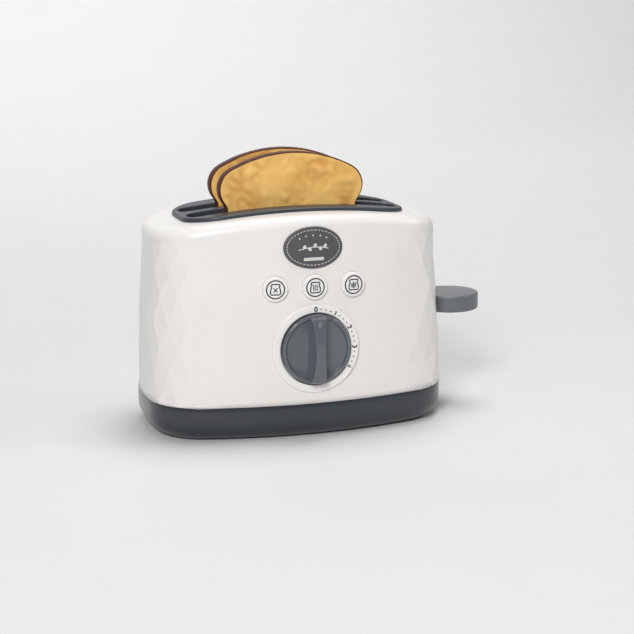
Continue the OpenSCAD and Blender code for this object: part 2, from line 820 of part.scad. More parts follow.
module carriage() {
    color(FRAME_GREY) difference() {
        union() {
            translate([plate_x, -plate_half_y, plate_z0]) cube([plate_t, 2 * plate_half_y, plate_z1 - plate_z0]);
            for (y = [-1, 1]) {
                translate([rod_x, y * rod_y, sleeve_z0]) cylinder(r = sleeve_r, h = sleeve_z1 - sleeve_z0);
                translate([plate_x, y * rod_y - sleeve_r / 2, sleeve_z0])
                    cube([rod_x - plate_x, sleeve_r, sleeve_z1 - sleeve_z0]);
                translate([plate_x, y > 0 ? plate_half_y - 2 : -spring_y - spring_r, ledge_z1 - ledge_t])
                    cube([rod_x - plate_x + spring_r, spring_y + spring_r - plate_half_y + 2, ledge_t]);
            }
            // catch that the latch holds, below the plate's front edge
            translate([plate_x, -plate_half_y - catch_d, plate_z0]) cube([plate_t, catch_d + past, catch_t]);
            // neck of the lever, out through the end wall's slot
            translate([plate_x, -neck_w / 2, lever_z - neck_h / 2]) cube([neck_x1 - plate_x, neck_w, neck_h]);
        }
        for (y = [-1, 1])
            translate([rod_x, y * rod_y, plate_z0]) cylinder(r = rod_r + run_gap, h = plate_z1 - plate_z0);
        translate([lever_screw_x, 0, lever_z - neck_h]) cylinder(r = screw_r + run_gap, h = 2 * neck_h);
    }
}

// Bar under one slice, with pairs of prongs that keep the slice upright; it butts on the carriage plate
module cradle(side) {
    bar_x0 = seat_gap - frame_x;
    half_gap = slice_t / 2 + prong_gap;
    translate([bar_x0, side * slot_pitch / 2 - cradle_w / 2, cradle_top - cradle_t])
        cube([plate_x - bar_x0, cradle_w, cradle_t]);
    for (x = prong_places) translate([x, side * slot_pitch / 2, cradle_top - cradle_t]) {
        translate([0, -half_gap - prong_t, 0]) cube([prong_len, 2 * (half_gap + prong_t), cradle_t - 1]);
        for (y = [-half_gap - prong_t, half_gap]) translate([0, y, 0]) cube([prong_len, prong_t, cradle_t + prong_h]);
    }
}

module cradle_front() { color(FRAME_GREY) cradle(-1); }
module cradle_rear() { color(FRAME_GREY) cradle(1); }

module lever_paddle() {
    color(LEVER_GREY) difference() {
        translate([paddle_x, 0, lever_z - paddle_t / 2]) rotate_extrude($fn = 96) polygon([
            [0, 0], [paddle_r - paddle_edge, 0], [paddle_r, paddle_edge], [paddle_r, paddle_t - paddle_edge],
            [paddle_r - paddle_edge, paddle_t], [0, paddle_t]
        ]);
        translate([paddle_flat_x - 2 * paddle_r, -paddle_r - past, lever_z - paddle_t])
            cube([2 * paddle_r, 2 * (paddle_r + past), 2 * paddle_t]);
        translate([paddle_flat_x - past, -neck_w / 2 - seat_gap, lever_z - neck_h / 2 - seat_gap])
            cube([neck_x1 - paddle_flat_x + past + seat_gap, neck_w + 2 * seat_gap, neck_h + 2 * seat_gap]);
        translate([lever_screw_x, 0, lever_z - paddle_t]) cylinder(r = screw_r + seat_gap, h = paddle_t);
        translate([lever_screw_x, 0, lever_z - paddle_t])
            cylinder(r = lever_head_r + slide_gap, h = paddle_t / 2 + lever_head_t + seat_gap);
    }
}

// Self-tapping screw with its head's seat at z = 0 and a cross recess in the head
module screw(length, head_r, thick) {
    recess_w = 0.7;
    cylinder(r = screw_r, h = length);
    translate([0, 0, -thick]) difference() {
        cylinder(r = head_r, h = thick);
        for (a = [0, 90]) rotate([0, 0, a]) translate([-head_r / 2, -recess_w / 2, -past])
            cube([head_r, recess_w, past + thick / 2]);
    }
}

module lever_screw() {
    head_z = lever_z - paddle_t / 2 + lever_head_t + seat_gap;
    color(METAL) translate([lever_screw_x, 0, head_z])
        screw(lever_z + neck_h / 2 - past - head_z, lever_head_r, lever_head_t);
}

// Round wire along a helix, with closed flat ends
module coil(r, wire_r, z0, z1, turns, steps, sides) {
    count = round(turns * steps);
    rings = [
        for (i = [0 : count])
        let (a = 360 * i / steps, z = z0 + wire_r + (z1 - z0 - 2 * wire_r) * i / count)
        [for (k = [0 : sides - 1]) let (b = 360 * k / sides)
            [(r + wire_r * cos(b)) * cos(a), (r + wire_r * cos(b)) * sin(a), z + wire_r * sin(b)]]
    ];
    polyhedron(
        points = [for (q = rings) each q],
        faces = concat(
            [[for (k = [0 : sides - 1]) sides - 1 - k]],
            [
                for (i = [0 : count - 1], k = [0 : sides - 1])
                let (a = i * sides + k, b = i * sides + (k + 1) % sides)
                each [[a, b, a + sides], [b, b + sides, a + sides]]
            ],
            [[for (k = [0 : sides - 1]) count * sides + k]]
        )
    );
}

module lift_springs() {
    color(METAL) for (y = [-1, 1]) translate([rod_x, y * spring_y, 0])
        coil(spring_r, spring_wire_r, ledge_z1, lug_z0, spring_turns, 12, 6);
}

module latch_crank() {
    color(LEVER_GREY) translate([0, latch_y0, 0]) difference() {
        union() {
            translate([latch_pin_x, 0, latch_pin_z]) bar_y(latch_boss_r, 0, latch_t);
            translate([latch_pin_x - latch_arm_w / 2, 0, latch_pin_z])
                cube([latch_arm_w, latch_t, nose_z0 + nose_h - latch_pin_z]);
            translate([latch_pin_x, 0, nose_z0]) rotate([-90, 0, 0]) hook();
            translate([tail_x, 0, latch_pin_z - latch_arm_w / 2]) cube([latch_pin_x - tail_x, latch_t, latch_arm_w]);
            translate([tail_x, 0, latch_pin_z - latch_arm_w / 2])
                cube([latch_arm_w, latch_t, tail_top - latch_pin_z + latch_arm_w / 2]);
            translate([tail_x, -tail_finger, tail_top - tail_finger_h])
                cube([latch_arm_w, tail_finger + latch_t, tail_finger_h]);
        }
        translate([latch_pin_x, 0, latch_pin_z]) bar_y(latch_pin_r + run_gap, -past, latch_t + past);
    }
}

// Hook of the latch: flat below, sloped on top so that the catch pushes it aside
module hook() {
    tip_h = 1.2;
    tip = nose_x1 - latch_pin_x;
    linear_extrude(latch_t) polygon([[0, 0], [tip, 0], [tip, -tip_h], [latch_arm_w / 2, -nose_h], [0, -nose_h]]);
}

module latch_pin() {
    color(METAL) translate([latch_pin_x, 0, latch_pin_z]) {
        bar_y(latch_pin_r, latch_y0 - slide_gap, -well_half_y - seat_gap);
        bar_y(latch_pin_r + 1, latch_y0 - slide_gap - 1, latch_y0 - slide_gap);
    }
}

// ---- clockwork timer ----
module gear(teeth, thick, bore_r, first_a) {
    pitch_r = gear_module * teeth / 2;
    root_r = pitch_r - 1.2 * gear_module;
    tip_r = pitch_r + 0.85 * gear_module;
    step = 360 / teeth;
    linear_extrude(thick) difference() {
        polygon([
            for (i = [0 : teeth - 1], c = [[-0.30, root_r], [-0.21, pitch_r], [-0.10, tip_r],
                                           [0.10, tip_r], [0.21, pitch_r], [0.30, root_r]])
            c[1] * [cos(first_a + (i + c[0]) * step), sin(first_a + (i + c[0]) * step)]
        ]);
        if (bore_r > 0) circle(bore_r);
    }
}

module timer_case() {
    color(FRAME_GREY) difference() {
        translate([timer_x0, timer_y0, timer_z0])
            cube([timer_x1 - timer_x0, timer_y1 - timer_y0 - cover_t, timer_z1 - timer_z0]);
        translate([timer_x0 + timer_t, timer_y0 + timer_t, timer_z0 + timer_t])
            cube([timer_x1 - timer_x0 - 2 * timer_t, timer_y1 - timer_y0, timer_z1 - timer_z0 - 2 * timer_t]);
        translate([0, 0, dial_z]) bar_y(spindle_r + run_gap, timer_y0 - past, timer_y0 + 2 * timer_t);
        translate([mid_x, 0, mid_z]) bar_y(arbor_r + run_gap, timer_y0 - past, timer_y0 + 2 * timer_t);
        translate([fan_x, 0, fan_z]) bar_y(arbor_r + run_gap, timer_y0 - past, timer_y0 + 2 * timer_t);
    }
}

module timer_cover() {
    color(FRAME_GREY) difference() {
        union() {
            translate([timer_x0, timer_y1 - cover_t, timer_z0])
                cube([timer_x1 - timer_x0, cover_t, timer_z1 - timer_z0]);
            for (e = ears) {
                translate([e.x, 0, e.y]) bar_y(ear_r, timer_y1 - cover_t, timer_y1);
                translate([e.x - ear_r, timer_y1 - cover_t, timer_z1 - 1]) cube([2 * ear_r, cover_t, e.y - timer_z1 + 1]);
            }
        }
        for (e = ears) translate([e.x, 0, e.y]) bar_y(screw_r + seat_gap, timer_y1 - cover_t - past, timer_y1 + past);
        for (p = [[0, dial_z, stub_r], [mid_x, mid_z, arbor_r], [fan_x, fan_z, arbor_r]])
            translate([p.x, 0, p.y]) bar_y(p[2] + run_gap, timer_y1 - cover_t - past, timer_y1 + past);
    }
}

module timer_spindle() {
    color(BRASS) translate([0, 0, dial_z]) {
        difference() {
            bar_y(spindle_r, socket_y + slide_gap, timer_y1 - cover_t - slide_gap);
            translate([spindle_r - spindle_flat, socket_y, -spindle_r])
                cube([2 * spindle_flat, well_floor_y - socket_y, 2 * spindle_r]);
        }
        bar_y(stub_r, timer_y1 - cover_t - past, timer_y1);
        translate([0, main_y + wheel_t, 0]) rotate([90, 0, 0]) gear(main_teeth, wheel_t, 0, 0);
    }
}

module timer_middle_wheel() {
    color(BRASS) translate([mid_x, 0, mid_z]) {
        bar_y(arbor_r, timer_y0 + seat_gap, timer_y1 - seat_gap);
        translate([0, main_y + wheel_t + pinion_extra, 0]) rotate([90, 0, 0])
            gear(mid_pinion_teeth, wheel_t + 2 * pinion_extra, 0, 180 + 180 / mid_pinion_teeth);
        translate([0, mid_wheel_y + wheel_t, 0]) rotate([90, 0, 0]) gear(mid_teeth, wheel_t, 0, fan_a);
    }
}

module timer_fan_wheel() {
    color(BRASS) translate([fan_x, 0, fan_z]) {
        bar_y(arbor_r, timer_y0 + seat_gap, timer_y1 - seat_gap);
        translate([0, mid_wheel_y + wheel_t + pinion_extra, 0]) rotate([90, 0, 0])
            gear(fan_pinion_teeth, wheel_t + 2 * pinion_extra, 0, fan_a + 180 + 180 / fan_pinion_teeth);
        for (a = [0, 90]) rotate([0, a, 0])
            translate([-blade_r, fan_wheel_y, -blade_t / 2])
                cube([2 * blade_r, blade_w, blade_t]);
    }
}

// Flat spiral from the spindle out to a post of the case
module timer_mainspring() {
    steps = 24;
    r0 = spindle_r + 0.4;
    r1 = main_r - 2.5 - spring_strip_t;
    count = mainspring_turns * steps;
    side = [for (i = [0 : count]) [r0 + (r1 - r0) * i / count, 360 * i / steps]];
    color(METAL) translate([0, mainspring_y + spring_strip_w, dial_z]) rotate([90, 0, 0])
        linear_extrude(spring_strip_w) polygon(concat(
            [for (p = side) p[0] * [cos(p[1]), sin(p[1])]],
            [for (i = [0 : count]) let (p = side[count - i]) (p[0] + spring_strip_t) * [cos(p[1]), sin(p[1])]]
        ));
}

// ---- knob ----
module knob() {
    bevel = [
        [0, 0], [knob_r, 0], [knob_r, 2.9], [knob_r - 0.9, 4.1], [knob_r - 1.9, 4.4],
        [knob_r - 3, 3.9], [knob_r - 4.6, 2.5], [knob_r - 8, 1.7], [0, 1.5]
    ];
    grip_half = knob_r - 1.2;
    waist = 2.4;
    draft = 1.6;
    waist_r = (pow(grip_half, 2) + pow(waist, 2)) / (2 * waist);
    crown_drop = 4.1;
    crown_bow_r = (pow(grip_half, 2) + pow(crown_drop, 2)) / (2 * crown_drop);
    back_y = well_floor_y - knob_back;
    grip_top = grip_out + (back_y - dial_y);
    color(SLATE) difference() {
        translate([0, back_y, dial_z]) rotate([90, 0, 0]) {
            rotate_extrude($fn = 96) polygon(bevel);
            intersection() {
                rotate([90, 0, 0]) translate([0, 0, -knob_r]) linear_extrude(2 * knob_r) polygon([
                    [-grip_w / 2 - draft, 0], [grip_w / 2 + draft, 0], [grip_w / 2, grip_top], [-grip_w / 2, grip_top]
                ]);
                difference() {
                    cylinder(r = grip_half, h = grip_top, $fn = 96);
                    for (x = [-1, 1]) translate([x * (grip_w / 2 + draft - waist + waist_r), 0, -past])
                        cylinder(r = waist_r, h = 2 * grip_top, $fn = 180);
                }
                translate([-knob_r, 0, grip_top - crown_bow_r]) rotate([0, 90, 0])
                    cylinder(r = crown_bow_r, h = 2 * knob_r, $fn = 180);
            }
        }
        // socket for the flatted spindle
        translate([0, 0, dial_z]) difference() {
            bar_y(spindle_r + run_gap, socket_y, well_floor_y);
            translate([spindle_r - spindle_flat + run_gap, socket_y - past, -2 * spindle_r])
                cube([spindle_r, well_floor_y - socket_y + 2 * past, 4 * spindle_r]);
        }
        // pointer dimple at the end of the grip that starts at the top
        translate([0, 0, dial_z + grip_half - 4.5]) bar_y(1.2, dial_y - grip_out, dial_y - grip_out + crown_drop + 0.6);
    }
}

// ---- buttons ----
guide_y = 10;
guide_t = 2;
guide_boss_r = 2.6;
guide_screw_r = 1.1;
guide_screw_len = 6;
guide_half_h = 8;
flange_t = 1.2;
flange_r = button_r + 1.2;
flange_y = wall + 0.8;
stem_r = 2.5;
stem_past = 1.5;
cap_edge = 0.9;
button_spring_r = 3.5;
button_wire_r = 0.35;
cup_gap = 0.25;
cup_r = button_spring_r + button_wire_r + cup_gap;
cup_t = 0.9;
cup_lap = 0.3;      // spring inside the cup's mouth at rest
cup_y = flange_y + flange_t;
button_spring_y = cup_y + button_travel + slide_gap;

module button(k) {
    color(WHITE) at_button(k) {
        rotate([90, 0, 0]) rotate_extrude() polygon(concat(
            [[0, -flange_y], [button_r, -flange_y]],
            [
                for (a = [0 : 30 : 90])
                [button_r - cap_edge * (1 - cos(a)), button_out - cap_edge * (1 - sin(a))]
            ],
            [[0, button_out]]
        ));
        bar_y(flange_r, flange_y, cup_y);
        bar_y(stem_r, flange_y, guide_y + guide_t + stem_past);
        // cup that takes in the spring as the button is pressed
        difference() {
            bar_y(cup_r + cup_t, flange_y, button_spring_y + cup_lap);
            bar_y(cup_r, cup_y, button_spring_y + cup_lap + past);
        }
    }
}

module button_left() { button(-1); }
module button_middle() { button(0); }
module button_right() { button(1); }

module button_spring(k) {
    color(METAL) at_button(k) translate([0, guide_y, 0]) rotate([90, 0, 0])
        coil(button_spring_r, button_wire_r, 0, guide_y - button_spring_y, 2.5, 10, 5);
}

module button_spring_left() { button_spring(-1); }
module button_spring_middle() { button_spring(0); }
module button_spring_right() { button_spring(1); }

module button_guide() {
    half_turn = 1.45 * button_turn;
    color(FRAME_GREY) difference() {
        intersection() {
            translate([0, bow_axis_y, button_z - guide_half_h]) difference() {
                cylinder(r = button_bow - guide_y, h = 2 * guide_half_h, $fn = 180);
                translate([0, 0, -past])
                    cylinder(r = button_bow - guide_y - guide_t, h = 2 * guide_half_h + 2 * past, $fn = 180);
            }
            translate([-button_bow * sin(half_turn), -body_d, button_z - guide_half_h])
                cube([2 * button_bow * sin(half_turn), body_d, 2 * guide_half_h]);
        }
        for (k = [-1 : 1]) at_button(k) bar_y(stem_r + slide_gap, guide_y - past, guide_y + guide_t + past);
        for (k = [-0.5, 0.5]) at_button(k) bar_y(guide_screw_r + seat_gap, guide_y - past, guide_y + guide_t + past);
    }
}

// ---- bread ----
// The top arc runs tangent into both lobes
module slice_outline(trim) {
    half = slice_w / 2;
    far = slice_h + crust_r;
    far_x = lobe_x * (far - crust_z) / (lobe_z - crust_z);
    intersection() {
        union() {
            translate([-half + trim, trim]) square([slice_w - 2 * trim, lobe_z]);
            for (x = [-1, 1]) translate([x * lobe_x, lobe_z]) circle(lobe_r - trim);
            polygon([[-lobe_x, lobe_z], [-far_x, far], [far_x, far], [lobe_x, lobe_z]]);
        }
        translate([0, crust_z]) circle(crust_r - trim, $fn = 180);
    }
}

module bread_slice(side) {
    color(CRUMB) translate([slice_x, side * slot_pitch / 2 + slice_t / 2, slice_z0]) rotate([90, 0, 0]) {
        translate([0, 0, slice_edge]) linear_extrude(slice_t - 2 * slice_edge) slice_outline(0);
        linear_extrude(slice_t) slice_outline(slice_edge);
    }
}

module bread_slice_front() { bread_slice(-1); }
module bread_slice_rear() { bread_slice(1); }

// ---- screws ----
module case_screws() {
    color(METAL) for (x = [-1, 1], y = [-1, 1])
        translate([x * post_x, y * post_y, case_head_z]) screw(seam_z + post_h - 8 - case_head_z, case_head_r, head_t);
}

module frame_screws() {
    color(METAL) {
        for (x = [-1, 1], y = [-1, 1])
            translate([x * tab_x, y * tab_y, frame_z0 + tab_t]) rotate([180, 0, 0]) screw(tab_t + 4, small_head_r, head_t);
        for (e = ears) translate([e.x, timer_y1 - cover_t, e.y]) rotate([-90, 0, 0]) screw(cover_t + 3.4, small_head_r, head_t);
    }
}

module guide_screws() {
    color(METAL) for (k = [-0.5, 0.5]) at_button(k) translate([0, guide_y + guide_t, 0]) {
        bar_y(guide_screw_r - run_gap, -guide_screw_len, 0);
        bar_y(guide_screw_r + 1, 0, flange_t);
    }
}

body_shell();
base();
slot_tray();
badge();
frame_front();
frame_rear();
frame_divider();
frame_end_left();
frame_end_right();
guide_rods();
carriage();
cradle_front();
cradle_rear();
lever_paddle();
lever_screw();
lift_springs();
latch_crank();
latch_pin();
timer_case();
timer_cover();
timer_spindle();
timer_middle_wheel();
timer_fan_wheel();
timer_mainspring();
knob();
button_left();
button_middle();
button_right();
button_spring_left();
button_spring_middle();
button_spring_right();
button_guide();
bread_slice_front();
bread_slice_rear();
case_screws();
frame_screws();
guide_screws();
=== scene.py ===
# Toy toaster: the looks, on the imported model's frame.
# Lengths are in mm, and new_object() scales them to metres. Lights and camera are in metres.
import math

import bmesh
import bpy
from mathutils import Matrix, Vector, noise
from mathutils.bvhtree import BVHTree


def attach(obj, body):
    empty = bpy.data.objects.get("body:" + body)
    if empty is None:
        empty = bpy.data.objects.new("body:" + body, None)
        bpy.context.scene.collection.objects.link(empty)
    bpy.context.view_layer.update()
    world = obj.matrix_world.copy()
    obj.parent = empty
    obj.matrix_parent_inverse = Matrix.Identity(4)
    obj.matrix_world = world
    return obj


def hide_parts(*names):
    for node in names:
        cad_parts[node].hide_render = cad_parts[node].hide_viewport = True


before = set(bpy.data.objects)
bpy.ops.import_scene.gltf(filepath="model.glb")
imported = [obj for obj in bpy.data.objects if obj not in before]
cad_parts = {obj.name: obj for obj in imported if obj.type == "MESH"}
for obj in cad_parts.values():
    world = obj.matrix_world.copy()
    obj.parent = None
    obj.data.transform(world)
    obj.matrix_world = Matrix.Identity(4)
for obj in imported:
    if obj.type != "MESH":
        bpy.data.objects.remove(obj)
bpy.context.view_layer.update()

MM = 0.001

# ---- sizes, as in the CAD ----
BODY_W, BODY_D, BODY_H = 193.0, 117.5, 138.0
FRONT_R, END_R, CORNER_R = 254.0, 250.0, 36.0  # arcs of the plan outline
WALL_R, CROWN_R = 1100.0, 500.0  # the walls' bow inwards and the arch of the top
EDGE_R, WALL = 7.5, 2.4  # rounding between wall and top, and the wall's thickness
SEAM = 22.0  # height of the joint between base and shell
SMOOTH_X = 56.0  # front and back are smooth up to this far from the middle
COLS, ROWS = 10, 6  # facets on each end
DIAL_Z, DIAL_R, DIAL_OUT = 56.51, 27.5, 1.5
KNOB_R, KNOB_GAP = 21.8, 1.0
BUTTON_Z, BUTTON_PITCH, BUTTON_R, BUTTON_OUT = 94.79, 24.9, 7.75, 2.6
BADGE_Z, BADGE_W, BADGE_H = 118.86, 37.5, 25.5
SLOT_LEN, SLOT_W, SLOT_PITCH = 136.0, 17.0, 24.0
RIM_H, RIM_END, RIM_SIDE, TRAY_R = 2.3, 4.0, 14.5, 24.0
TRAY_W = SLOT_LEN + 2 * RIM_END
TRAY_D = SLOT_PITCH + SLOT_W + 2 * RIM_SIDE
TRAY_SEAT = 2.3  # width of the shell's edge that lies under the tray's rim
LEVER_Z, TRAVEL = 68.8, 33.0
NECK_W, NECK_H, NECK_OUT = 5.0, 6.0, 8.0
PADDLE_R, PADDLE_T, LEVER_OUT = 19.5, 10.8, 15.0
SLICE_W, SLICE_H, SLICE_T, LOBE_R = 84.5, 84.0, 8.0, 13.5
LOBE_OUT, LOBE_SHOULDER = 4.85, 8.5  # a lobe's place beside the slice and below its top
SLICE_SHOW, SLICE_X = 35.0, -1.5  # height over the shell, and place along the slot
BASE_EDGE = 12.0  # rounding of the base's lower edge

# ---- sizes of the scene alone ----
FACET_DEPTH = 1.5  # the CAD has 1.1, which shows too weakly on the pale shell
DECK_Z = RIM_H - 0.2  # the tray's deck, over the arch of the top
MARK_LIFT = 0.05  # the dial's print lies this far in front of the ring
BADGE_FACE, BADGE_PRINT = 1.05, 1.09  # the badge's face and its print, over the wall


def cosd(a):
    return math.cos(math.radians(a))


def sind(a):
    return math.sin(math.radians(a))


# ---- the plan outline: three tangent arcs in each quarter ----
front_c = FRONT_R - BODY_D / 2
end_c = END_R - BODY_W / 2
span = math.hypot(end_c, front_c)
ux, uy = -end_c / span, front_c / span
fr, er = FRONT_R - CORNER_R, END_R - CORNER_R
along = (fr * fr - er * er + span * span) / (2 * span)
across = math.sqrt(fr * fr - along * along)
corner_c = (along * ux + across * uy, -front_c + along * uy - across * ux)
# angles at which the corner's arc, the front's arc and its smooth part begin
end_a = math.degrees(math.atan2(corner_c[1], corner_c[0] + end_c))
front_a = math.degrees(math.atan2(corner_c[1] + front_c, corner_c[0]))
smooth_a = math.degrees(math.acos(SMOOTH_X / FRONT_R))
# how far the facets run along the three arcs, in mm times degrees
reach = [END_R * end_a, CORNER_R * (front_a - end_a), FRONT_R * (smooth_a - front_a)]


def plan_point(a, inset):
    """Point of the plan outline whose normal is at angle a, moved in by inset."""
    q = math.degrees(math.atan2(abs(sind(a)), abs(cosd(a))))
    if q < end_a:
        cx, cy, r = -end_c, 0.0, END_R - inset
    elif q < front_a:
        cx, cy, r = *corner_c, CORNER_R - inset
    else:
        cx, cy, r = 0.0, -front_c, FRONT_R - inset
    x, y = cx + r * cosd(q), cy + r * sind(q)
    return (x if cosd(a) > 0 else -x, y if sind(a) > 0 else -y)


def end_angle(f):
    """Angle of a point on the faceted end, for its share -1 to 1 of the end's length."""
    s = abs(f) * sum(reach)
    if s < reach[0]:
        a = s / END_R
    elif s < reach[0] + reach[1]:
        a = end_a + (s - reach[0]) / CORNER_R
    else:
        a = front_a + (s - reach[0] - reach[1]) / FRONT_R
    return a if f >= 0 else -a


def wall_inset(z):
    """How far the walls have bowed inwards at a height."""
    return (z - SEAM) ** 2 / (2 * WALL_R)


def crown(x):
    """Height of the arched top."""
    return BODY_H - CROWN_R + math.sqrt(CROWN_R ** 2 - x * x)


def front_y(z):
    return -BODY_D / 2 + wall_inset(z)


def wall_top(a):
    """Height at which the wall's rounded upper edge begins."""
    return crown(plan_point(a, EDGE_R)[0]) - EDGE_R


DIAL_Y = front_y(DIAL_Z)  # the wall's face at the dial
LEVER_X = BODY_W / 2 - wall_inset(LEVER_Z)  # the wall's face at the lever


def share_noise(i):
    """The CAD's rule that spreads the facets' corners: 0 to 1 for a whole number."""
    s = math.sin(math.radians(i * 127.1 + 31.7)) * 437.585
    return s - math.floor(s)


def ring_marks(shares, mid):
    """Angles round the outline with a running place: 0 to 1 right end, 2 to 3 left end.

    The shares mark the ends, and mid points lie on the back and as many on the front."""
    sweep = 180 - 2 * smooth_a
    out = []
    for side in (0, 1):
        out += [(180 * side + end_angle(f), 2 * side + (f + 1) / 2) for f in shares]
        out += [(180 * side + smooth_a + sweep * q / (mid + 1), 2 * side + 1 + q / (mid + 1))
                for q in range(1, mid + 1)]
    return out


def shares_of(kind, sub=1):
    """Shares of an end's length: whole facets, facets set off by half, or a finer row."""
    if kind == "odd":
        return [-1.0] + [-1 + (2 * i + 1) / COLS for i in range(COLS)] + [1.0]
    n = COLS * (sub if kind == "fine" else 1)
    return [-1 + 2 * i / n for i in range(n + 1)]


# ---- small mesh helpers ----
def new_object(name, verts, faces, smooth=True):
    mesh = bpy.data.meshes.new(name)
    mesh.from_pydata([(x * MM, y * MM, z * MM) for x, y, z in verts], [], faces)
    mesh.validate()
    if smooth:
        for p in mesh.polygons:
            p.use_smooth = True
    obj = bpy.data.objects.new(name, mesh)
    bpy.context.scene.collection.objects.link(obj)
    return obj


def sharpen(obj, degrees):
    for p in obj.data.polygons:
        p.use_smooth = True
    obj.data.set_sharp_from_angle(angle=math.radians(degrees))


def recalc(obj):
    bm = bmesh.new()
    bm.from_mesh(obj.data)
    bmesh.ops.recalc_face_normals(bm, faces=bm.faces)
    bm.to_mesh(obj.data)
    bm.free()


def remove(obj):
    data = obj.data
    bpy.data.objects.remove(obj)
    bpy.data.meshes.remove(data)


def cut(obj, cutters):
    """Cuts the cutters out of the piece, then deletes them."""
    for c in cutters:
        m = obj.modifiers.new("cut", "BOOLEAN")
        m.operation = "DIFFERENCE"
        m.solver = "EXACT"
        m.object = c
    deps = bpy.context.evaluated_depsgraph_get()
    mesh = bpy.data.meshes.new_from_object(obj.evaluated_get(deps))
    obj.modifiers.clear()
    old = obj.data
    obj.data = mesh
    bpy.data.meshes.remove(old)
    for c in cutters:
        remove(c)


def lathe(name, profile, axis_point, direction="-y", steps=96):
    """Solid of revolution; profile is (radius, height) pairs from the axis out and back to it."""
    verts, faces, rows = [], [], []
    for r, h in profile:
        if r < 1e-6:
            rows.append([len(verts)])
            verts.append((0.0, 0.0, h))
        else:
            rows.append(list(range(len(verts), len(verts) + steps)))
            verts += [(r * cosd(360 * i / steps), r * sind(360 * i / steps), h)
                      for i in range(steps)]
    for a, b in zip(rows, rows[1:]):
        for i in range(steps):
            j = (i + 1) % steps
            if len(a) == 1 and len(b) == 1:
                continue
            if len(a) == 1:
                faces.append((a[0], b[i], b[j]))
            elif len(b) == 1:
                faces.append((a[i], b[0], a[j]))
            else:
                faces.append((a[i], b[i], b[j], a[j]))
    if direction == "-y":
        verts = [(x, -z, y) for x, y, z in verts]
    verts = [tuple(p + q for p, q in zip(v, axis_point)) for v in verts]
    obj = new_object(name, verts, faces)
    recalc(obj)
    return obj


def rounded_rect(w, d, r, steps=16):
    pts = []
    for cx, cy, a0 in ((1, 1, 0), (-1, 1, 90), (-1, -1, 180), (1, -1, 270)):
        for i in range(steps + 1):
            a = a0 + 90 * i / steps
            pts.append((cx * (w / 2 - r) + r * cosd(a), cy * (d / 2 - r) + r * sind(a)))
    return pts


def split_sides(pts, parts):
    """The closed outline with each side split into parts(dx, dy) steps."""
    out = []
    for i, (x, y) in enumerate(pts):
        x2, y2 = pts[(i + 1) % len(pts)]
        n = parts(x2 - x, y2 - y)
        out += [(x + (x2 - x) * k / n, y + (y2 - y) * k / n) for k in range(n)]
    return out


def prism(name, outline, z0, z1):
    n = len(outline)
    verts = [(x, y, z0) for x, y in outline] + [(x, y, z1) for x, y in outline]
    faces = [tuple(range(n - 1, -1, -1)), tuple(range(n, 2 * n))]
    faces += [(i, (i + 1) % n, n + (i + 1) % n, n + i) for i in range(n)]
    obj = new_object(name, verts, faces, smooth=False)
    recalc(obj)
    return obj


def block(name, low, high):
    """Plain box, used as a cutter only."""
    verts = [(x, y, z) for x in (low[0], high[0]) for y in (low[1], high[1])
             for z in (low[2], high[2])]
    faces = [(0, 1, 3, 2), (4, 6, 7, 5), (0, 4, 5, 1), (2, 3, 7, 6), (0, 2, 6, 4), (1, 5, 7, 3)]
    obj = new_object(name, verts, faces, smooth=False)
    recalc(obj)
    return obj


def loft(name, rings, capped=True):
    """Skin through rings of equal length, with a face at either end if it is capped."""
    n, last = len(rings[0]), len(rings) - 1
    faces = []
    for k in range(last):
        for i in range(n):
            j = (i + 1) % n
            faces.append((k * n + i, k * n + j, (k + 1) * n + j, (k + 1) * n + i))
    if capped:
        faces.append(tuple(range(n - 1, -1, -1)))
        faces.append(tuple(range(last * n, (last + 1) * n)))
    obj = new_object(name, [p for r in rings for p in r], faces)
    recalc(obj)
    return obj


def join(objs):
    """Moves the other pieces' meshes into the first piece."""
    main = objs[0]
    bm = bmesh.new()
    for o in objs:
        bm.from_mesh(o.data)
    bm.to_mesh(main.data)
    bm.free()
    for o in objs[1:]:
        remove(o)


# ---- materials ----
def socket(node, name, value):
    node.inputs[name].default_value = value


def new_material(name):
    mat = bpy.data.materials.new(name)
    mat.use_nodes = True
    nodes, links = mat.node_tree.nodes, mat.node_tree.links
    return mat, nodes, links, nodes["Principled BSDF"]


def add_noise(nodes, links, place, scale, detail):
    node = nodes.new("ShaderNodeTexNoise")
    socket(node, "Scale", scale)
    socket(node, "Detail", detail)
    links.new(place.outputs["Object"], node.inputs["Vector"])
    return node


def add_ramp(nodes, links, source, low, high):
    """Colour ramp between two stops, each a position and a colour."""
    ramp = nodes.new("ShaderNodeValToRGB")
    for stop, (position, rgb) in zip(ramp.color_ramp.elements, (low, high)):
        stop.position = position
        stop.color = (*rgb, 1)
    links.new(source.outputs["Fac"], ramp.inputs["Fac"])
    return ramp


def add_range(nodes, links, source, span_from, span_to=(0.0, 1.0)):
    node = nodes.new("ShaderNodeMapRange")
    for name, value in zip(("From Min", "From Max", "To Min", "To Max"), (*span_from, *span_to)):
        socket(node, name, value)
    links.new(source, node.inputs["Value"])
    return node


def add_mix(nodes, links, factor, colour, rgb):
    """Mixes a linked colour with a plain one."""
    node = nodes.new("ShaderNodeMix")
    node.data_type = "RGBA"
    links.new(factor, node.inputs["Factor"])
    links.new(colour, node.inputs["A"])
    node.inputs["B"].default_value = (*rgb, 1)
    return node


def add_bump(nodes, links, source, bsdf, strength, distance):
    bump = nodes.new("ShaderNodeBump")
    socket(bump, "Strength", strength)
    socket(bump, "Distance", distance)
    links.new(source.outputs["Fac"], bump.inputs["Height"])
    links.new(bump.outputs["Normal"], bsdf.inputs["Normal"])


def add_attribute(nodes, name):
    node = nodes.new("ShaderNodeAttribute")
    node.attribute_name = name
    return node.outputs["Fac"]


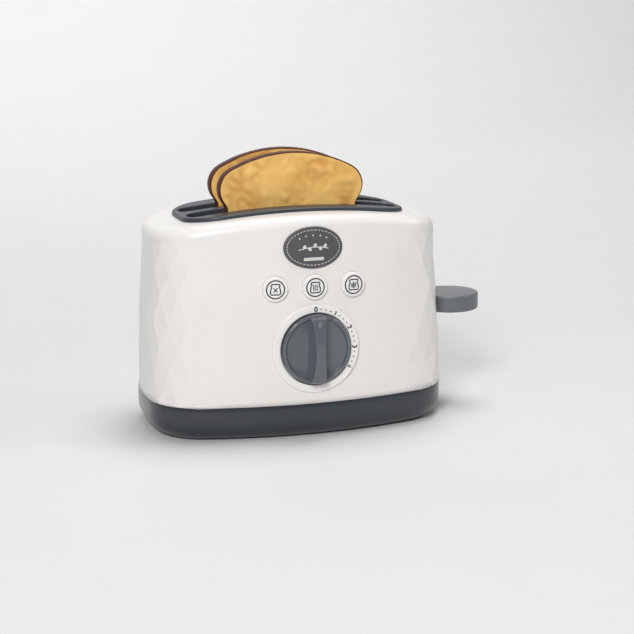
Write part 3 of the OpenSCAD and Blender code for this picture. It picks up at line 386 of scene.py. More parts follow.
def plastic(name, rgb, rough, grain=0.15, grain_scale=900.0, tint=0.03, rough_vary=0.05,
            coat=0.0):
    """Moulded plastic: slow tint change, fine moulded grain and slightly uneven gloss."""
    mat, nodes, links, bsdf = new_material(name)
    socket(bsdf, "Specular IOR Level", 0.5)
    socket(bsdf, "Coat Weight", coat)
    socket(bsdf, "Coat Roughness", 0.12)
    place = nodes.new("ShaderNodeTexCoord")
    slow = add_noise(nodes, links, place, 18.0, 3.0)
    ramp = add_ramp(nodes, links, slow, (0.35, [c * (1 - tint) for c in rgb]),
                    (0.65, [min(1, c * (1 + tint)) for c in rgb]))
    links.new(ramp.outputs["Color"], bsdf.inputs["Base Color"])
    gloss = add_range(nodes, links, slow.outputs["Fac"], (0.3, 0.7),
                      (max(0.02, rough - rough_vary), rough + rough_vary))
    links.new(gloss.outputs["Result"], bsdf.inputs["Roughness"])
    fine = add_noise(nodes, links, place, grain_scale, 2.0)
    add_bump(nodes, links, fine, bsdf, grain, 0.0002)
    return mat


def metal(name, rgb, rough):
    mat = plastic(name, rgb, rough, grain=0.2, grain_scale=1500, tint=0.06)
    socket(mat.node_tree.nodes["Principled BSDF"], "Metallic", 1.0)
    return mat


def bread_material():
    """Toasted crumb: golden faces, painted shade in the hollows, a dark crust and fine pores."""
    mat, nodes, links, bsdf = new_material("bread_plastic")
    socket(bsdf, "Roughness", 0.5)
    socket(bsdf, "Specular IOR Level", 0.2)
    place = nodes.new("ShaderNodeTexCoord")
    blotch = add_noise(nodes, links, place, 55.0, 5.0)
    socket(blotch, "Roughness", 0.6)
    face = add_ramp(nodes, links, blotch, (0.30, (0.80, 0.47, 0.130)), (0.68, (0.88, 0.57, 0.195)))
    # painted shade: the deeper a point lies, the more its colour goes to a browner one
    hollow_shaded = add_mix(nodes, links, add_attribute(nodes, "hollow"), face.outputs["Color"],
                    (0.58, 0.27, 0.065))
    # half of the blotches is added to the nearness of the edge, so the crust's line is uneven
    ragged = nodes.new("ShaderNodeMath")
    ragged.operation = "MULTIPLY_ADD"
    ragged.inputs[1].default_value = 0.5
    links.new(blotch.outputs["Fac"], ragged.inputs[0])
    links.new(add_attribute(nodes, "crust"), ragged.inputs[2])
    edge = add_range(nodes, links, ragged.outputs["Value"], (0.82, 0.98))
    edge.interpolation_type = "SMOOTHSTEP"
    crusted = add_mix(nodes, links, edge.outputs["Result"], hollow_shaded.outputs["Result"],
                      (0.085, 0.022, 0.012))
    links.new(crusted.outputs["Result"], bsdf.inputs["Base Color"])
    pores = add_noise(nodes, links, place, 420.0, 3.0)
    add_bump(nodes, links, pores, bsdf, 0.12, 0.0003)
    return mat


# what several materials have in common
PALE = dict(grain=0.05, tint=0.008, rough_vary=0.03)
GLOSS = dict(tint=0.05, rough_vary=0.04)
PRINT = dict(grain=0.1, tint=0.06)
shell_white = plastic("shell_white", (0.76, 0.735, 0.715), 0.36, coat=0.12, **PALE)
ring_white = plastic("ring_white", (0.80, 0.775, 0.755), 0.32, coat=0.3, **PALE)
slate = plastic("slate_gloss", (0.021, 0.026, 0.034), 0.22, grain=0.05, coat=0.3, **GLOSS)
# lighter than the base's slate as painted reflection on the deck; the higher roughness is its own
# satin finish
tray_mat = plastic("slate_satin_painted_sheen", (0.034, 0.041, 0.050), 0.42, grain=0.08, **GLOSS)
# a little lighter than the knob's own dark grey: that part is painted sheen
knob_mat = plastic("slate_knob", (0.095, 0.104, 0.121), 0.20, grain=0.04, coat=0.5, **GLOSS)
lever_mat = plastic("lever_grey", (0.125, 0.135, 0.145), 0.38, grain=0.08, tint=0.04)
badge_mat = plastic("badge_print", (0.075, 0.076, 0.082), 0.42, grain=0.1, tint=0.04)
print_dark = plastic("print_dark", (0.030, 0.030, 0.036), 0.5, **PRINT)
print_pale = plastic("print_pale", (0.62, 0.60, 0.57), 0.5, **PRINT)
inner_mat = plastic("inner_plastic", (0.16, 0.165, 0.17), 0.5, grain=0.2, tint=0.05)
steel_mat = metal("spring_steel", (0.60, 0.60, 0.62), 0.3)
brass_mat = metal("timer_brass", (0.72, 0.56, 0.27), 0.3)
bread_mat = bread_material()


def dress(obj, mat):
    obj.data.materials.clear()
    obj.data.materials.append(mat)


NODE_MATS = {
    "body_shell": shell_white, "base": slate, "slot_tray": tray_mat, "badge": badge_mat,
    "frame_front": inner_mat, "frame_rear": inner_mat, "frame_divider": inner_mat,
    "frame_end_left": inner_mat, "frame_end_right": inner_mat, "guide_rods": steel_mat,
    "carriage": inner_mat, "cradle_front": inner_mat, "cradle_rear": inner_mat,
    "lever_paddle": lever_mat, "lever_screw": steel_mat, "lift_springs": steel_mat,
    "latch_crank": inner_mat, "latch_pin": steel_mat, "timer_case": inner_mat,
    "timer_cover": inner_mat, "timer_spindle": brass_mat, "timer_middle_wheel": brass_mat,
    "timer_fan_wheel": brass_mat, "timer_mainspring": steel_mat, "knob": knob_mat,
    "button_left": ring_white, "button_middle": ring_white, "button_right": ring_white,
    "button_spring_left": steel_mat, "button_spring_middle": steel_mat,
    "button_spring_right": steel_mat, "button_guide": inner_mat,
    "bread_slice_front": bread_mat, "bread_slice_rear": bread_mat,
    "case_screws": steel_mat, "frame_screws": steel_mat, "guide_screws": steel_mat,
}
for node_name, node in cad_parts.items():
    for material_slot in node.material_slots:
        material_slot.material = NODE_MATS[node_name]


def part(obj, mat, body, slot_name, *nodes):
    """Dresses a piece, rides it on its body and hides the CAD nodes it stands for."""
    dress(obj, mat)
    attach(obj, body)
    if nodes:
        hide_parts(*nodes)


# ================= shell =================
OUT_SUB, OUT_MID = 4, 41  # points for each facet's width, and on the smooth front and back
IN_SUB, IN_MID = 2, 9  # the same for the hollow inside
FIRST = 0.03  # the facets leave this share of the wall plain below and above them
CORNER_SHIFT = 0.05  # spread of the facets' corners in height, as a share of the wall
SOFT_ROWS = {0: 0.3, ROWS: 0.6}  # the lowest and highest rows are shallower


def wall_point(a, share, inset):
    """Point of the wall at a share of its height."""
    z = SEAM + share * (wall_top(a) - SEAM)
    x, y = plan_point(a, wall_inset(z) + inset)
    return (x, y, z)


def edge_point(a, turn, inset, r):
    """Point of the rounding between wall and top."""
    z = wall_top(a)
    x, y = plan_point(a, wall_inset(z) + inset + r * (1 - cosd(turn)))
    return (x, y, z + r * sind(turn))


def cad_index(kind, place):
    """Number of a facet's corner in the CAD's own ring, which has fewer smooth points."""
    n = COLS + 2 if kind == "odd" else COLS + 1
    side = 0 if place < 1.5 else 1
    f = (place - 2 * side) * 2 - 1
    if not -0.999 < f < 0.999:
        return 0
    if kind == "odd":
        i = round((f + 1) * COLS / 2 - 0.5) + 1
    else:
        i = round((f + 1) * COLS / 2)
    return i + side * (n + 21)


def shell_rings():
    """Rings of the outer skin from the seam to the top, each as its marks, points and kind."""
    fine = ring_marks(shares_of("fine", OUT_SUB), OUT_MID)
    rings = [(fine, [wall_point(a, 0.0, 0.0) for a, _ in fine], "wall")]
    for k in range(ROWS + 1):
        kind = "even" if k % 2 == 0 else "odd"
        marks = ring_marks(shares_of(kind), OUT_MID)
        share = FIRST + (1 - 2 * FIRST) * k / ROWS
        pts = []
        for a, place in marks:
            shift = depth = 0.0
            if 0.01 < place % 2 < 0.99:  # on an end, inside its borders
                # the CAD's own numbers, so that both models have the same facets
                seed = cad_index(kind, place) + 40 * round(share * 50)
                shift = CORNER_SHIFT * (share_noise(seed + 7) - 0.5)
                depth = SOFT_ROWS.get(k, 1.0) * FACET_DEPTH * share_noise(seed)
            pts.append(wall_point(a, share + shift, depth))
        rings.append((marks, pts, "facet"))
    for turn in range(0, 91, 9):
        rings.append((fine, [edge_point(a, turn, 0.0, EDGE_R) for a, _ in fine], "edge"))
    return rings


def skin_faces(low, high, low_at, high_at):
    """Triangles between two rings with different marks, taken in the order of their places."""
    nl, nh = len(low), len(high)

    def nxt(marks, i):
        return marks[i + 1][1] if i + 1 < len(marks) else 4

    i = j = 0
    step = nxt(low, 0) <= nxt(high, 0)
    out = []
    while i + j < nl + nh:
        if step:
            out.append((low_at + i % nl, high_at + j % nh, low_at + (i + 1) % nl))
            i += 1
        else:
            out.append((low_at + i % nl, high_at + j % nh, high_at + (j + 1) % nh))
            j += 1
        step = j >= nh or (i < nl and nxt(low, i) <= nxt(high, j))
    return out


def closed_stack(rings, sub):
    """Closed skin through the rings, and the kind of each face.

    The last ring has sub points for each facet's width on its ends."""
    verts, faces, kinds, at = [], [], [], []
    for _, pts, _ in rings:
        at.append(len(verts))
        verts += pts
    faces.append(tuple(range(len(rings[0][1]))))
    kinds.append("cap")
    for k in range(len(rings) - 1):
        m0, m1 = rings[k][0], rings[k + 1][0]
        if m0 == m1:
            n = len(m0)
            fs = [(at[k] + i, at[k] + (i + 1) % n, at[k + 1] + (i + 1) % n, at[k + 1] + i)
                  for i in range(n)]
        else:
            fs = skin_faces(m0, m1, at[k], at[k + 1])
        faces += fs
        kinds += [rings[k + 1][2] if rings[k][2] != "wall" else "wall"] * len(fs)
    # the top, in strips from front to back along the arch
    n, end_n, first = len(rings[-1][1]), COLS * sub, at[-1]

    def twin(i):
        return end_n - i if i <= end_n else n + end_n - i

    for i in range(end_n // 2, end_n // 2 + n // 2):
        a, b = first + i, first + i + 1
        am, bm = first + twin(i), first + twin(i + 1)
        if a == am:
            fs = (a, bm, b) if b != bm else None
        elif b == bm:
            fs = (a, am, b)
        else:
            fs = (a, am, bm, b)
        if fs:
            faces.append(fs)
            kinds.append("top")
    return verts, faces, kinds


def surface_normals(obj):
    """Face tree and corner normals of a piece before it is cut."""
    mesh = obj.data
    tree = BVHTree.FromPolygons([v.co for v in mesh.vertices],
                                [tuple(p.vertices) for p in mesh.polygons])
    corners = [[(mesh.vertices[mesh.loops[i].vertex_index].co.copy(),
                 mesh.corner_normals[i].vector.copy()) for i in p.loop_indices]
               for p in mesh.polygons]
    return tree, corners


def carry_normals(obj, source):
    """Gives the cut piece the shading of the uncut surface wherever it still lies on it."""
    tree, corners = source
    mesh = obj.data
    out = [Vector(n.vector) for n in mesh.corner_normals]
    for p in mesh.polygons:
        hit, _, index, dist = tree.find_nearest(p.center)
        if hit is None or dist > 0.05 * MM:
            continue
        known = corners[index]
        flat = sum((n for _, n in known), Vector()).normalized()
        if flat.dot(p.normal) < 0.9:
            continue
        for i in p.loop_indices:
            co = mesh.vertices[mesh.loops[i].vertex_index].co
            n = Vector()
            for c, cn in known:
                n += cn / max((c - co).length, 1e-7) ** 2
            out[i] = n.normalized()
    mesh.normals_split_custom_set([tuple(n) for n in out])


def button_place(k):
    """Point of the wall's face at a button, and the turn about Z of its frame."""
    bow = FRONT_R - wall_inset(BUTTON_Z)
    turn = k * math.asin(BUTTON_PITCH / FRONT_R)
    return (bow * math.sin(turn), front_c - bow * math.cos(turn), BUTTON_Z), turn


def hollow_cutter():
    """The inside of the shell."""
    marks = ring_marks(shares_of("fine", IN_SUB), IN_MID)
    rings = []
    for share in (-0.01, 0.25, 0.5, 0.75):
        rings.append((marks, [wall_point(a, share, WALL) for a, _ in marks], "in"))
    for turn in (0, 30, 60, 90):
        pts = [edge_point(a, turn, WALL, EDGE_R - WALL) for a, _ in marks]
        rings.append((marks, pts, "in"))
    verts, faces, _ = closed_stack(rings, IN_SUB)
    hollow = new_object("hollow", verts, faces)
    recalc(hollow)
    return hollow


def shell_cutters():
    """The inside, the tray's opening, the lever's slot, the dial's and the buttons' holes."""
    opening = rounded_rect(TRAY_W - 2 * TRAY_SEAT, TRAY_D - 2 * TRAY_SEAT, TRAY_R - TRAY_SEAT)
    cutters = [hollow_cutter(), prism("c_top", opening, BODY_H - 23, BODY_H + 12)]
    gap_y, gap_z, deep = NECK_W / 2 + 0.6, NECK_H / 2 + 0.8, 9
    cutters.append(block("c_slot", (LEVER_X - deep, -gap_y, LEVER_Z - TRAVEL - gap_z),
                         (LEVER_X + deep, gap_y, LEVER_Z + gap_z)))
    hole_r = DIAL_R - 1.0
    cutters.append(lathe("c_dial", [(0, -2.0), (hole_r, -2.0), (hole_r, 8), (0, 8)],
                         (0, DIAL_Y, DIAL_Z), steps=64))
    hole_r = BUTTON_R + 0.1
    for k in (-1, 0, 1):
        p, turn = button_place(k)
        c = lathe("c_button", [(0, -9), (hole_r, -9), (hole_r, 6), (0, 6)], (0, 0, 0), steps=64)
        c.data.transform(Matrix.Translation(Vector(p) * MM) @ Matrix.Rotation(turn, 4, "Z"))
        cutters.append(c)
    return cutters


def build_shell():
    verts, faces, kinds = closed_stack(shell_rings(), OUT_SUB)
    obj = new_object("shell", verts, faces)
    # flat facets only round the ends
    for p, kind in zip(obj.data.polygons, kinds):
        p.use_smooth = not (kind == "facet" and abs(p.center.x) / MM > SMOOTH_X - 0.3)
    recalc(obj)
    source = surface_normals(obj)
    cut(obj, shell_cutters())
    carry_normals(obj, source)
    part(obj, shell_white, "body", "shell_white", "body_shell")


build_shell()


# ================= dial, buttons and badge =================
def build_dial_ring():
    """Ring round the knob, proud of the wall, with a sunk floor behind the knob."""
    foot = DIAL_OUT + 4.2
    out_e, in_e = 0.55, 0.35  # roundings of the outer and inner edge
    bore, island = KNOB_R + KNOB_GAP, KNOB_R - KNOB_GAP
    floor_h = -(DIAL_OUT + 0.6)
    groove_h = floor_h - 3.0
    prof = [(0, -foot), (DIAL_R, -foot)]
    prof += [(DIAL_R - out_e * (1 - cosd(t)), -out_e + out_e * sind(t)) for t in range(0, 91, 18)]
    prof += [(bore + in_e * (1 - cosd(t)), -in_e + in_e * sind(t)) for t in range(90, -1, -18)]
    prof += [(bore, groove_h), (island, groove_h), (island, floor_h), (0, floor_h)]
    obj = lathe("dial_ring", prof, (0, DIAL_Y - DIAL_OUT, DIAL_Z), steps=128)
    sharpen(obj, 40)
    part(obj, ring_white, "body", "shell_white")


build_dial_ring()


def ribbon(points, width, depth, closed=False):
    """Flat print: strip along 2-D points; returns vertices (u, v, depth) and faces."""
    n = len(points)
    verts, faces = [], []
    for i, p in enumerate(points):
        a = points[(i - 1) % n] if closed or i > 0 else p
        b = points[(i + 1) % n] if closed or i < n - 1 else p
        tx, ty = b[0] - a[0], b[1] - a[1]
        t = math.hypot(tx, ty) or 1
        nx, ny = -ty / t, tx / t
        verts.append((p[0] + nx * width / 2, p[1] + ny * width / 2, depth))
        verts.append((p[0] - nx * width / 2, p[1] - ny * width / 2, depth))
    for i in range(n if closed else n - 1):
        j = (i + 1) % n
        faces.append((2 * i, 2 * i + 1, 2 * j + 1, 2 * j))
    return verts, faces


def disc(cx, cy, r, depth, steps=20):
    verts = [(cx + r * cosd(360 * i / steps), cy + r * sind(360 * i / steps), depth)
             for i in range(steps)]
    return verts, [tuple(range(steps))]


def arc(cx, cy, r, a0, a1, steps):
    return [(cx + r * cosd(a0 + (a1 - a0) * i / steps), cy + r * sind(a0 + (a1 - a0) * i / steps))
            for i in range(steps + 1)]


def face_front(obj):
    """Turns a print's faces to the front."""
    bm = bmesh.new()
    bm.from_mesh(obj.data)
    bm.normal_update()
    bmesh.ops.reverse_faces(bm, faces=[f for f in bm.faces if f.normal.y > 0])
    bm.to_mesh(obj.data)
    bm.free()


def printed(name, shapes, place, mat, body):
    """Joins flat shapes in (u right, v up, proud) and maps them with place(u, v, proud)."""
    verts, faces = [], []
    for v, f in shapes:
        at = len(verts)
        verts += [place(*p) for p in v]
        faces += [tuple(at + i for i in q) for q in f]
    obj = new_object(name, verts, faces)
    face_front(obj)
    part(obj, mat, body, "badge_print")


# numerals as single strokes, 1 high and about 0.6 wide, centred on (0, 0)
GLYPHS = {
    "0": [[(0.27 * cosd(a), 0.46 * sind(a)) for a in range(0, 361, 15)]],
    "1": [[(-0.17, 0.27), (0.04, 0.46), (0.04, -0.46)]],
    "2": [arc(0, 0.2, 0.26, 165, -25, 12) + [(-0.27, -0.46), (0.29, -0.46)]],
    "3": [arc(0, 0.22, 0.235, 150, -90, 12), arc(0, -0.21, 0.26, 90, -150, 12)],
    "4": [[(0.12, -0.46), (0.12, 0.46), (-0.3, -0.18), (0.3, -0.18)]],
}


def build_dial_marks():
    """Numerals 0 to 4 and the dots between them, on the dial's ring."""
    r, size, stroke, dot = 24.85, 2.9, 0.78, 0.44
    face_y = DIAL_Y - DIAL_OUT
    shapes = []
    for n in range(5):
        a = 90 - 30 * n
        for line in GLYPHS[str(n)]:
            pts = [((r + y * size) * cosd(a) + x * size * sind(a),
                    (r + y * size) * sind(a) - x * size * cosd(a)) for x, y in line]
            shapes.append(ribbon(pts, stroke, MARK_LIFT))
        if n < 4:
            for k in (1, 2, 3):
                b = a - 7.5 * k
                shapes.append(disc(r * cosd(b), r * sind(b), dot, MARK_LIFT))
    printed("dial_marks", shapes, lambda u, v, d: (u, face_y - d, DIAL_Z + v), print_dark, "body")


build_dial_marks()


def loaf_outline(w, h):
    """Little bread shape: flat top with two lobes, a neck below them, a wider rounded foot."""
    foot_r, lobe_w, lobe_h = w * 0.16, w * 0.12, h * 0.12
    half = [(0.0, -h / 2)]
    half += [(w * 0.5 - foot_r * (1 - sind(t)), -h / 2 + foot_r * (1 - cosd(t)))
             for t in (0, 30, 60, 90)]
    half += [(w * 0.5, -h * 0.2), (w * 0.46, h * 0.02), (w * 0.385, h * 0.2),
             (w * 0.38, h * 0.27)]
    half += [(w * 0.33 + lobe_w * cosd(t), h * 0.38 + lobe_h * sind(t))
             for t in (-20, 10, 40, 65, 90)]
    return half + [(0.0, h / 2)] + [(-x, y) for x, y in reversed(half[1:])]


def cross_sign():
    low, high, side = -1.75, 1.0, 1.3
    return [ribbon([(-side, low), (side, high)], 0.72, 0.0),
            ribbon([(-side, high), (side, low)], 0.72, 0.0)]


def heat_sign():
    """Three rising waves."""
    return [ribbon([(x + 0.3 * sind(t * 360 / 12), -2.1 + 3.9 * t / 24) for t in range(25)],
                   0.56, 0.0) for x in (-1.2, 0, 1.2)]


def frost_sign():
    """Six arms, each with a barb."""
    mid, arm, barb_r = -0.3, 2.1, 1.75
    shapes = []
    for a in (90, 30, 150):
        x, y = arm * cosd(a), arm * sind(a)
        shapes.append(ribbon([(-x, -y + mid), (x, y + mid)], 0.5, 0.0))
    for a in range(30, 390, 60):
        barb = [(barb_r * cosd(a + b) * q, barb_r * sind(a + b) * q + mid)
                for b, q in ((-24, 1), (0, 0.62), (24, 1))]
        shapes.append(ribbon(barb, 0.42, 0.0))
    return shapes


def build_button_prints():
    ring_r, lift = 5.55, 0.02
    ring = [(ring_r * cosd(a), ring_r * sind(a)) for a in range(0, 360, 6)]
    for k, side, sign in ((-1, "left", cross_sign), (0, "middle", heat_sign),
                          (1, "right", frost_sign)):
        shapes = [ribbon(ring, 0.85, 0.0, closed=True),
                  ribbon(loaf_outline(6.2, 6.4), 0.8, 0.0, closed=True)] + sign()
        p, turn = button_place(k)
        c, s = math.cos(turn), math.sin(turn)

        def place(u, v, d, p=p, c=c, s=s):
            proud = -(BUTTON_OUT + lift + d)
            return (p[0] + u * c - proud * s, p[1] + u * s + proud * c, p[2] + v)

        printed("button_print_" + side, shapes, place, print_dark, side + "_button")


build_button_prints()

KNOB_BACK = DIAL_Y + 0.2
GRIP_HALF = KNOB_R - 1.2
GRIP_FALL = 4.1  # the grip is this much lower at its ends


def knob_dish():
    """The round body: rounded edge, narrow rim, inner slope and a nearly flat pocket."""
    rim_in, rim_h, slope_w, slope_h = 1.8, 4.08, 1.2, 1.4
    prof = [(0, 0), (KNOB_R - 0.3, 0), (KNOB_R, 0.3), (KNOB_R, 3.0)]
    prof += [(KNOB_R - 1.0 * (1 - cosd(t)), 3.0 + 1.1 * sind(t)) for t in range(15, 91, 15)]
    prof += [(KNOB_R - 1.4, 4.14), (KNOB_R - rim_in, rim_h)]
    prof += [(KNOB_R - rim_in - slope_w * t / 6, rim_h - slope_h * (0.5 - 0.5 * cosd(30 * t)))
             for t in range(1, 7)]
    prof += [(12.0, 2.45), (6.0, 2.35), (0, 2.3)]
    return lathe("dial_knob", prof, (0, KNOB_BACK, DIAL_Z), steps=128)


def knob_grip():
    """Waisted bar across the knob, lower and rounded at its ends."""
    count, round_r, end_share = 44, 0.9, 0.94
    # half widths at the foot and the top, and the height, all by the share of the half length
    rings = []
    for i in range(count + 1):
        v = -GRIP_HALF + 2 * GRIP_HALF * i / count
        f = abs(v) / GRIP_HALF
        foot = 7.1 - 2.1 * f ** 2
        top = 4.75 - 1.6 * (1 - f ** 2)
        rise = 12.8 - GRIP_FALL * f ** 2
        if f > end_share:
            t = (f - end_share) / (1 - end_share)
            rise -= 1.5 * (1 - math.sqrt(max(0.0, 1 - t * t)))
        section = [(-foot, 0.5), (-foot, 2.5), (-0.62 * foot - 0.38 * top, 3.6)]
        for t in range(0, 91, 15):
            section.append((-top + round_r - round_r * cosd(t),
                            rise - round_r + round_r * sind(t)))
        section += [(-top * 0.5, rise + 0.05), (0, rise + 0.08), (top * 0.5, rise + 0.05)]
        for t in range(90, -1, -15):
            section.append((top - round_r + round_r * cosd(t),
                            rise - round_r + round_r * sind(t)))
        section += [(0.62 * foot + 0.38 * top, 3.6), (foot, 2.5), (foot, 0.5)]
        rings.append([(u, KNOB_BACK - w, DIAL_Z + v) for u, w in section])
    return loft("grip", rings)


def build_knob():
    knob = knob_dish()
    join([knob, knob_grip()])
    sharpen(knob, 38)
    part(knob, knob_mat, "dial", "slate_gloss", "knob")


def build_pointer():
    """Drop in low relief near the upper end of the grip; its lighter grey is a painted highlight.
    """
    drop_r, at_v = 1.45, 16.0
    drop = []
    for t in range(0, 360, 15):
        c, s = cosd(t), sind(t)
        drop.append((drop_r * s * (1 - 0.5 * c if c > 0 else 1),
                     drop_r * c * (2.0 if c > 0 else 1)))

    def grip_face(v):
        return 12.88 - GRIP_FALL * (abs(v) / GRIP_HALF) ** 2

    rings = []
    for q, h in ((1.0, -0.3), (1.0, 0.1), (0.93, 0.38), (0.78, 0.6), (0.5, 0.74), (0.15, 0.8)):
        rings.append([(x * q, KNOB_BACK - grip_face(at_v + y * q) - h, DIAL_Z + at_v + y * q)
                      for x, y in drop])
    # the lever's grey, lighter than the knob's, is a painted highlight on the drop
    part(loft("knob_pointer", rings), lever_mat, "dial", "lever_grey")


build_knob()
build_pointer()


def badge_place(u, v, d):
    """Maps a point of the badge onto the wall's bow and lean."""
    lean = math.atan((BADGE_Z - SEAM) / WALL_R)
    y = front_y(BADGE_Z) + (FRONT_R - math.sqrt(FRONT_R ** 2 - u * u)) - d
    return (u, y + v * math.tan(lean), BADGE_Z + v)


def build_badge_plate():
    back, side_h, steps = -0.5, 0.55, 96
    rows = [(1.0, back), (1.0, side_h)]
    rows += [(1.0 - 0.045 * (1 - cosd(t)), side_h + 0.5 * sind(t)) for t in range(15, 91, 15)]
    rows += [(q, BADGE_FACE) for q in (0.85, 0.7, 0.5, 0.3, 0.12)]
    rings = [[badge_place(q * BADGE_W / 2 * cosd(360 * i / steps),
                          q * BADGE_H / 2 * sind(360 * i / steps), d) for i in range(steps)]
             for q, d in rows]
    obj = loft("badge_plate", rings)
    sharpen(obj, 50)
    part(obj, badge_mat, "body", "badge_print", "badge")


def build_badge_print():
    """Stitched border, a plain sprig, a bar below it and an arc of dots above."""
    stitches, stitch_share, inset = 44, 0.62, 2.1
    shapes = []
    for i in range(stitches):
        a0, a1 = 360 * i / stitches, 360 * (i + stitch_share) / stitches
        pts = [((BADGE_W / 2 - inset) * cosd(a0 + (a1 - a0) * q / 3),
                (BADGE_H / 2 - inset) * sind(a0 + (a1 - a0) * q / 3)) for q in range(4)]
        shapes.append(ribbon(pts, 0.42, BADGE_PRINT))
    stem = [(-9.5, -1.2), (-5, -0.2), (0, 0.3), (5, 0.2), (9.5, -0.8)]
    shapes.append(ribbon(stem, 0.55, BADGE_PRINT))
    leaf_len, leaf_half = 2.6, 1.0
    for x, y, a in ((-6.5, -0.4, 48), (-3.2, 0.1, -48), (0.2, 0.4, 48), (3.5, 0.3, -48),
                    (6.6, -0.1, 48)):
        leaf = []
        for t in range(0, 360, 30):
            lx, ly = leaf_len * (0.5 + 0.5 * cosd(t)), leaf_half * sind(t)
            leaf.append((x + lx * cosd(a) - ly * sind(a), y + lx * sind(a) + ly * cosd(a),
                         BADGE_PRINT))
        shapes.append((leaf, [tuple(range(len(leaf)))]))
    shapes.append(ribbon([(-6.3 + 1.05 * i, -6.9) for i in range(13)], 1.9, BADGE_PRINT))
    for a in (50, 70, 90, 110, 130):
        shapes.append(disc((BADGE_W / 2 - 5.5) * cosd(a), (BADGE_H / 2 - 5.2) * sind(a), 0.5,
                           BADGE_PRINT, 12))
    printed("badge_stitches", shapes, badge_place, print_pale, "body")


build_badge_plate()
build_badge_print()


# ================= base =================
def build_base():
    """Tub with a rounded lower edge, a softened edge at the seam and four screw wells."""
    marks = ring_marks(shares_of("fine", 4), 31)
    rows = [(BASE_EDGE * (1 - sind(t)), BASE_EDGE * (1 - cosd(t))) for t in range(0, 91, 10)]
    rows += [(0.0, 16.0), (0.0, SEAM - 0.55), (0.12, SEAM - 0.25), (0.4, SEAM - 0.06),
             (0.9, SEAM - 0.02)]
    # inner skin back down, so that the base is a tub with a wall
    rows += [(WALL, SEAM - 0.02), (WALL, BASE_EDGE)]
    inner = BASE_EDGE - WALL
    rows += [(WALL + inner * (1 - cosd(t)), WALL + inner * (1 - sind(t)))
             for t in range(15, 91, 15)]
    obj = loft("base_tub", [[(*plan_point(a, i), z) for a, _ in marks] for i, z in rows])
    screw_a, screw_in, well_r, well_h = 75, 16, 3.0, 9
    px = corner_c[0] + (CORNER_R - screw_in) * cosd(screw_a)
    py = corner_c[1] + (CORNER_R - screw_in) * sind(screw_a)
    well = [(0, -1), (well_r, -1), (well_r, well_h), (0, well_h)]
    cut(obj, [lathe("c_well", well, (sx * px, sy * py, 0), "z", 32)
              for sx in (-1, 1) for sy in (-1, 1)])
    sharpen(obj, 35)
    part(obj, slate, "body", "slate_gloss", "base")


build_base()


# ================= tray =================
def tray_rim():
    """From the foot over the rounded outer edge to the deck."""
    edge = 1.3
    section = [(0.0, -0.3), (0.0, 0.0)]
    section += [(edge - edge * cosd(t), RIM_H - edge + edge * sind(t)) for t in range(0, 91, 10)]
    section += [(1.8, RIM_H - 0.02), (2.4, RIM_H - 0.1), (3.1, DECK_Z)]
    # steps below 4 mm, which follow the arch
    outline = split_sides(rounded_rect(TRAY_W, TRAY_D, TRAY_R, 20),
                          lambda dx, dy: 1 + int(math.hypot(dx, dy) / 4.0))
    flat_x, flat_y = TRAY_W / 2 - TRAY_R, TRAY_D / 2 - TRAY_R
    rings = []
    for inset, rise in section:
        ring = []
        for x, y in outline:
            # moved in along the outline's normal
            cx, cy = max(-flat_x, min(flat_x, x)), max(-flat_y, min(flat_y, y))
            dx, dy = x - cx, y - cy
            k = (TRAY_R - inset) / TRAY_R if math.hypot(dx, dy) > 1e-6 else 1
            px, py = cx + dx * k, cy + dy * k
            ring.append((px, py, crown(px) + rise))
        rings.append(ring)
    return loft("tray_rim", rings, capped=False)


def tray_deck():
    """Arched plate inside the rim, cut by the two slots."""
    inset, under, cells = 3.0, 1.0, 60
    verts, faces = [], []
    for i in range(cells + 1):
        x = -TRAY_W / 2 + inset + (TRAY_W - 2 * inset) * i / cells
        e = abs(x) - (TRAY_W / 2 - TRAY_R)
        half = TRAY_D / 2 - inset
        if e > 0:
            half = TRAY_D / 2 - TRAY_R + math.sqrt(max(0.0, (TRAY_R - inset) ** 2 - e * e))
        for s in (-1, 1):
            verts += [(x, s * half, crown(x) + DECK_Z), (x, s * half, crown(x) - under)]
    for a in range(0, 4 * cells, 4):
        b = a + 4
        faces += [(a, b, b + 2, a + 2), (a + 1, a + 3, b + 3, b + 1), (a, a + 1, b + 1, b),
                  (a + 2, b + 2, b + 3, a + 3)]
    last = 4 * cells
    faces += [(0, 2, 3, 1), (last, last + 1, last + 3, last + 2)]
    deck = new_object("deck", verts, faces, smooth=False)
    recalc(deck)
    slot = rounded_rect(SLOT_LEN + 2, SLOT_W + 2, 8, 8)  # the lips fill the 1 mm all round
    cut(deck, [prism("c_slot", [(x, y + s * SLOT_PITCH / 2) for x, y in slot],
                     BODY_H - 38, BODY_H + 22) for s in (-1, 1)])
    return deck


def slot_skirt(side):
    """Rounded lip of a slot and the skirt below it."""
    section = [(-1.3, DECK_Z - 0.3)]
    section += [(-1 + cosd(t), DECK_Z - 1 + sind(t)) for t in range(90, -1, -15)]
    section += [(0.0, -12.0)]
    rings = []
    for inset, rise in section:
        # only the long sides are split, to follow the arch
        outline = split_sides(
            rounded_rect(SLOT_LEN - 2 * inset, SLOT_W - 2 * inset, 7 - inset, 8),
            lambda dx, dy: 24 if abs(dx) > 60 else 1)
        rings.append([(x, y + side * SLOT_PITCH / 2, crown(x) + rise) for x, y in outline])
    return loft("skirt", rings, capped=False)


def build_tray():
    tray = tray_rim()
    join([tray, tray_deck(), slot_skirt(-1), slot_skirt(1)])
    sharpen(tray, 40)
    part(tray, tray_mat, "body", "slate_gloss", "slot_tray")


build_tray()


# ================= bread =================
SLICE_MID = SLICE_H * 0.5
SLICE_REACH = 42  # from the middle to the edge, which turns shares of it into mm
HOLLOW_DEPTH = 2.4
HOLLOW_SHADE_TINT = 0.7  # how much painted shade, in a browner colour, a full hollow takes
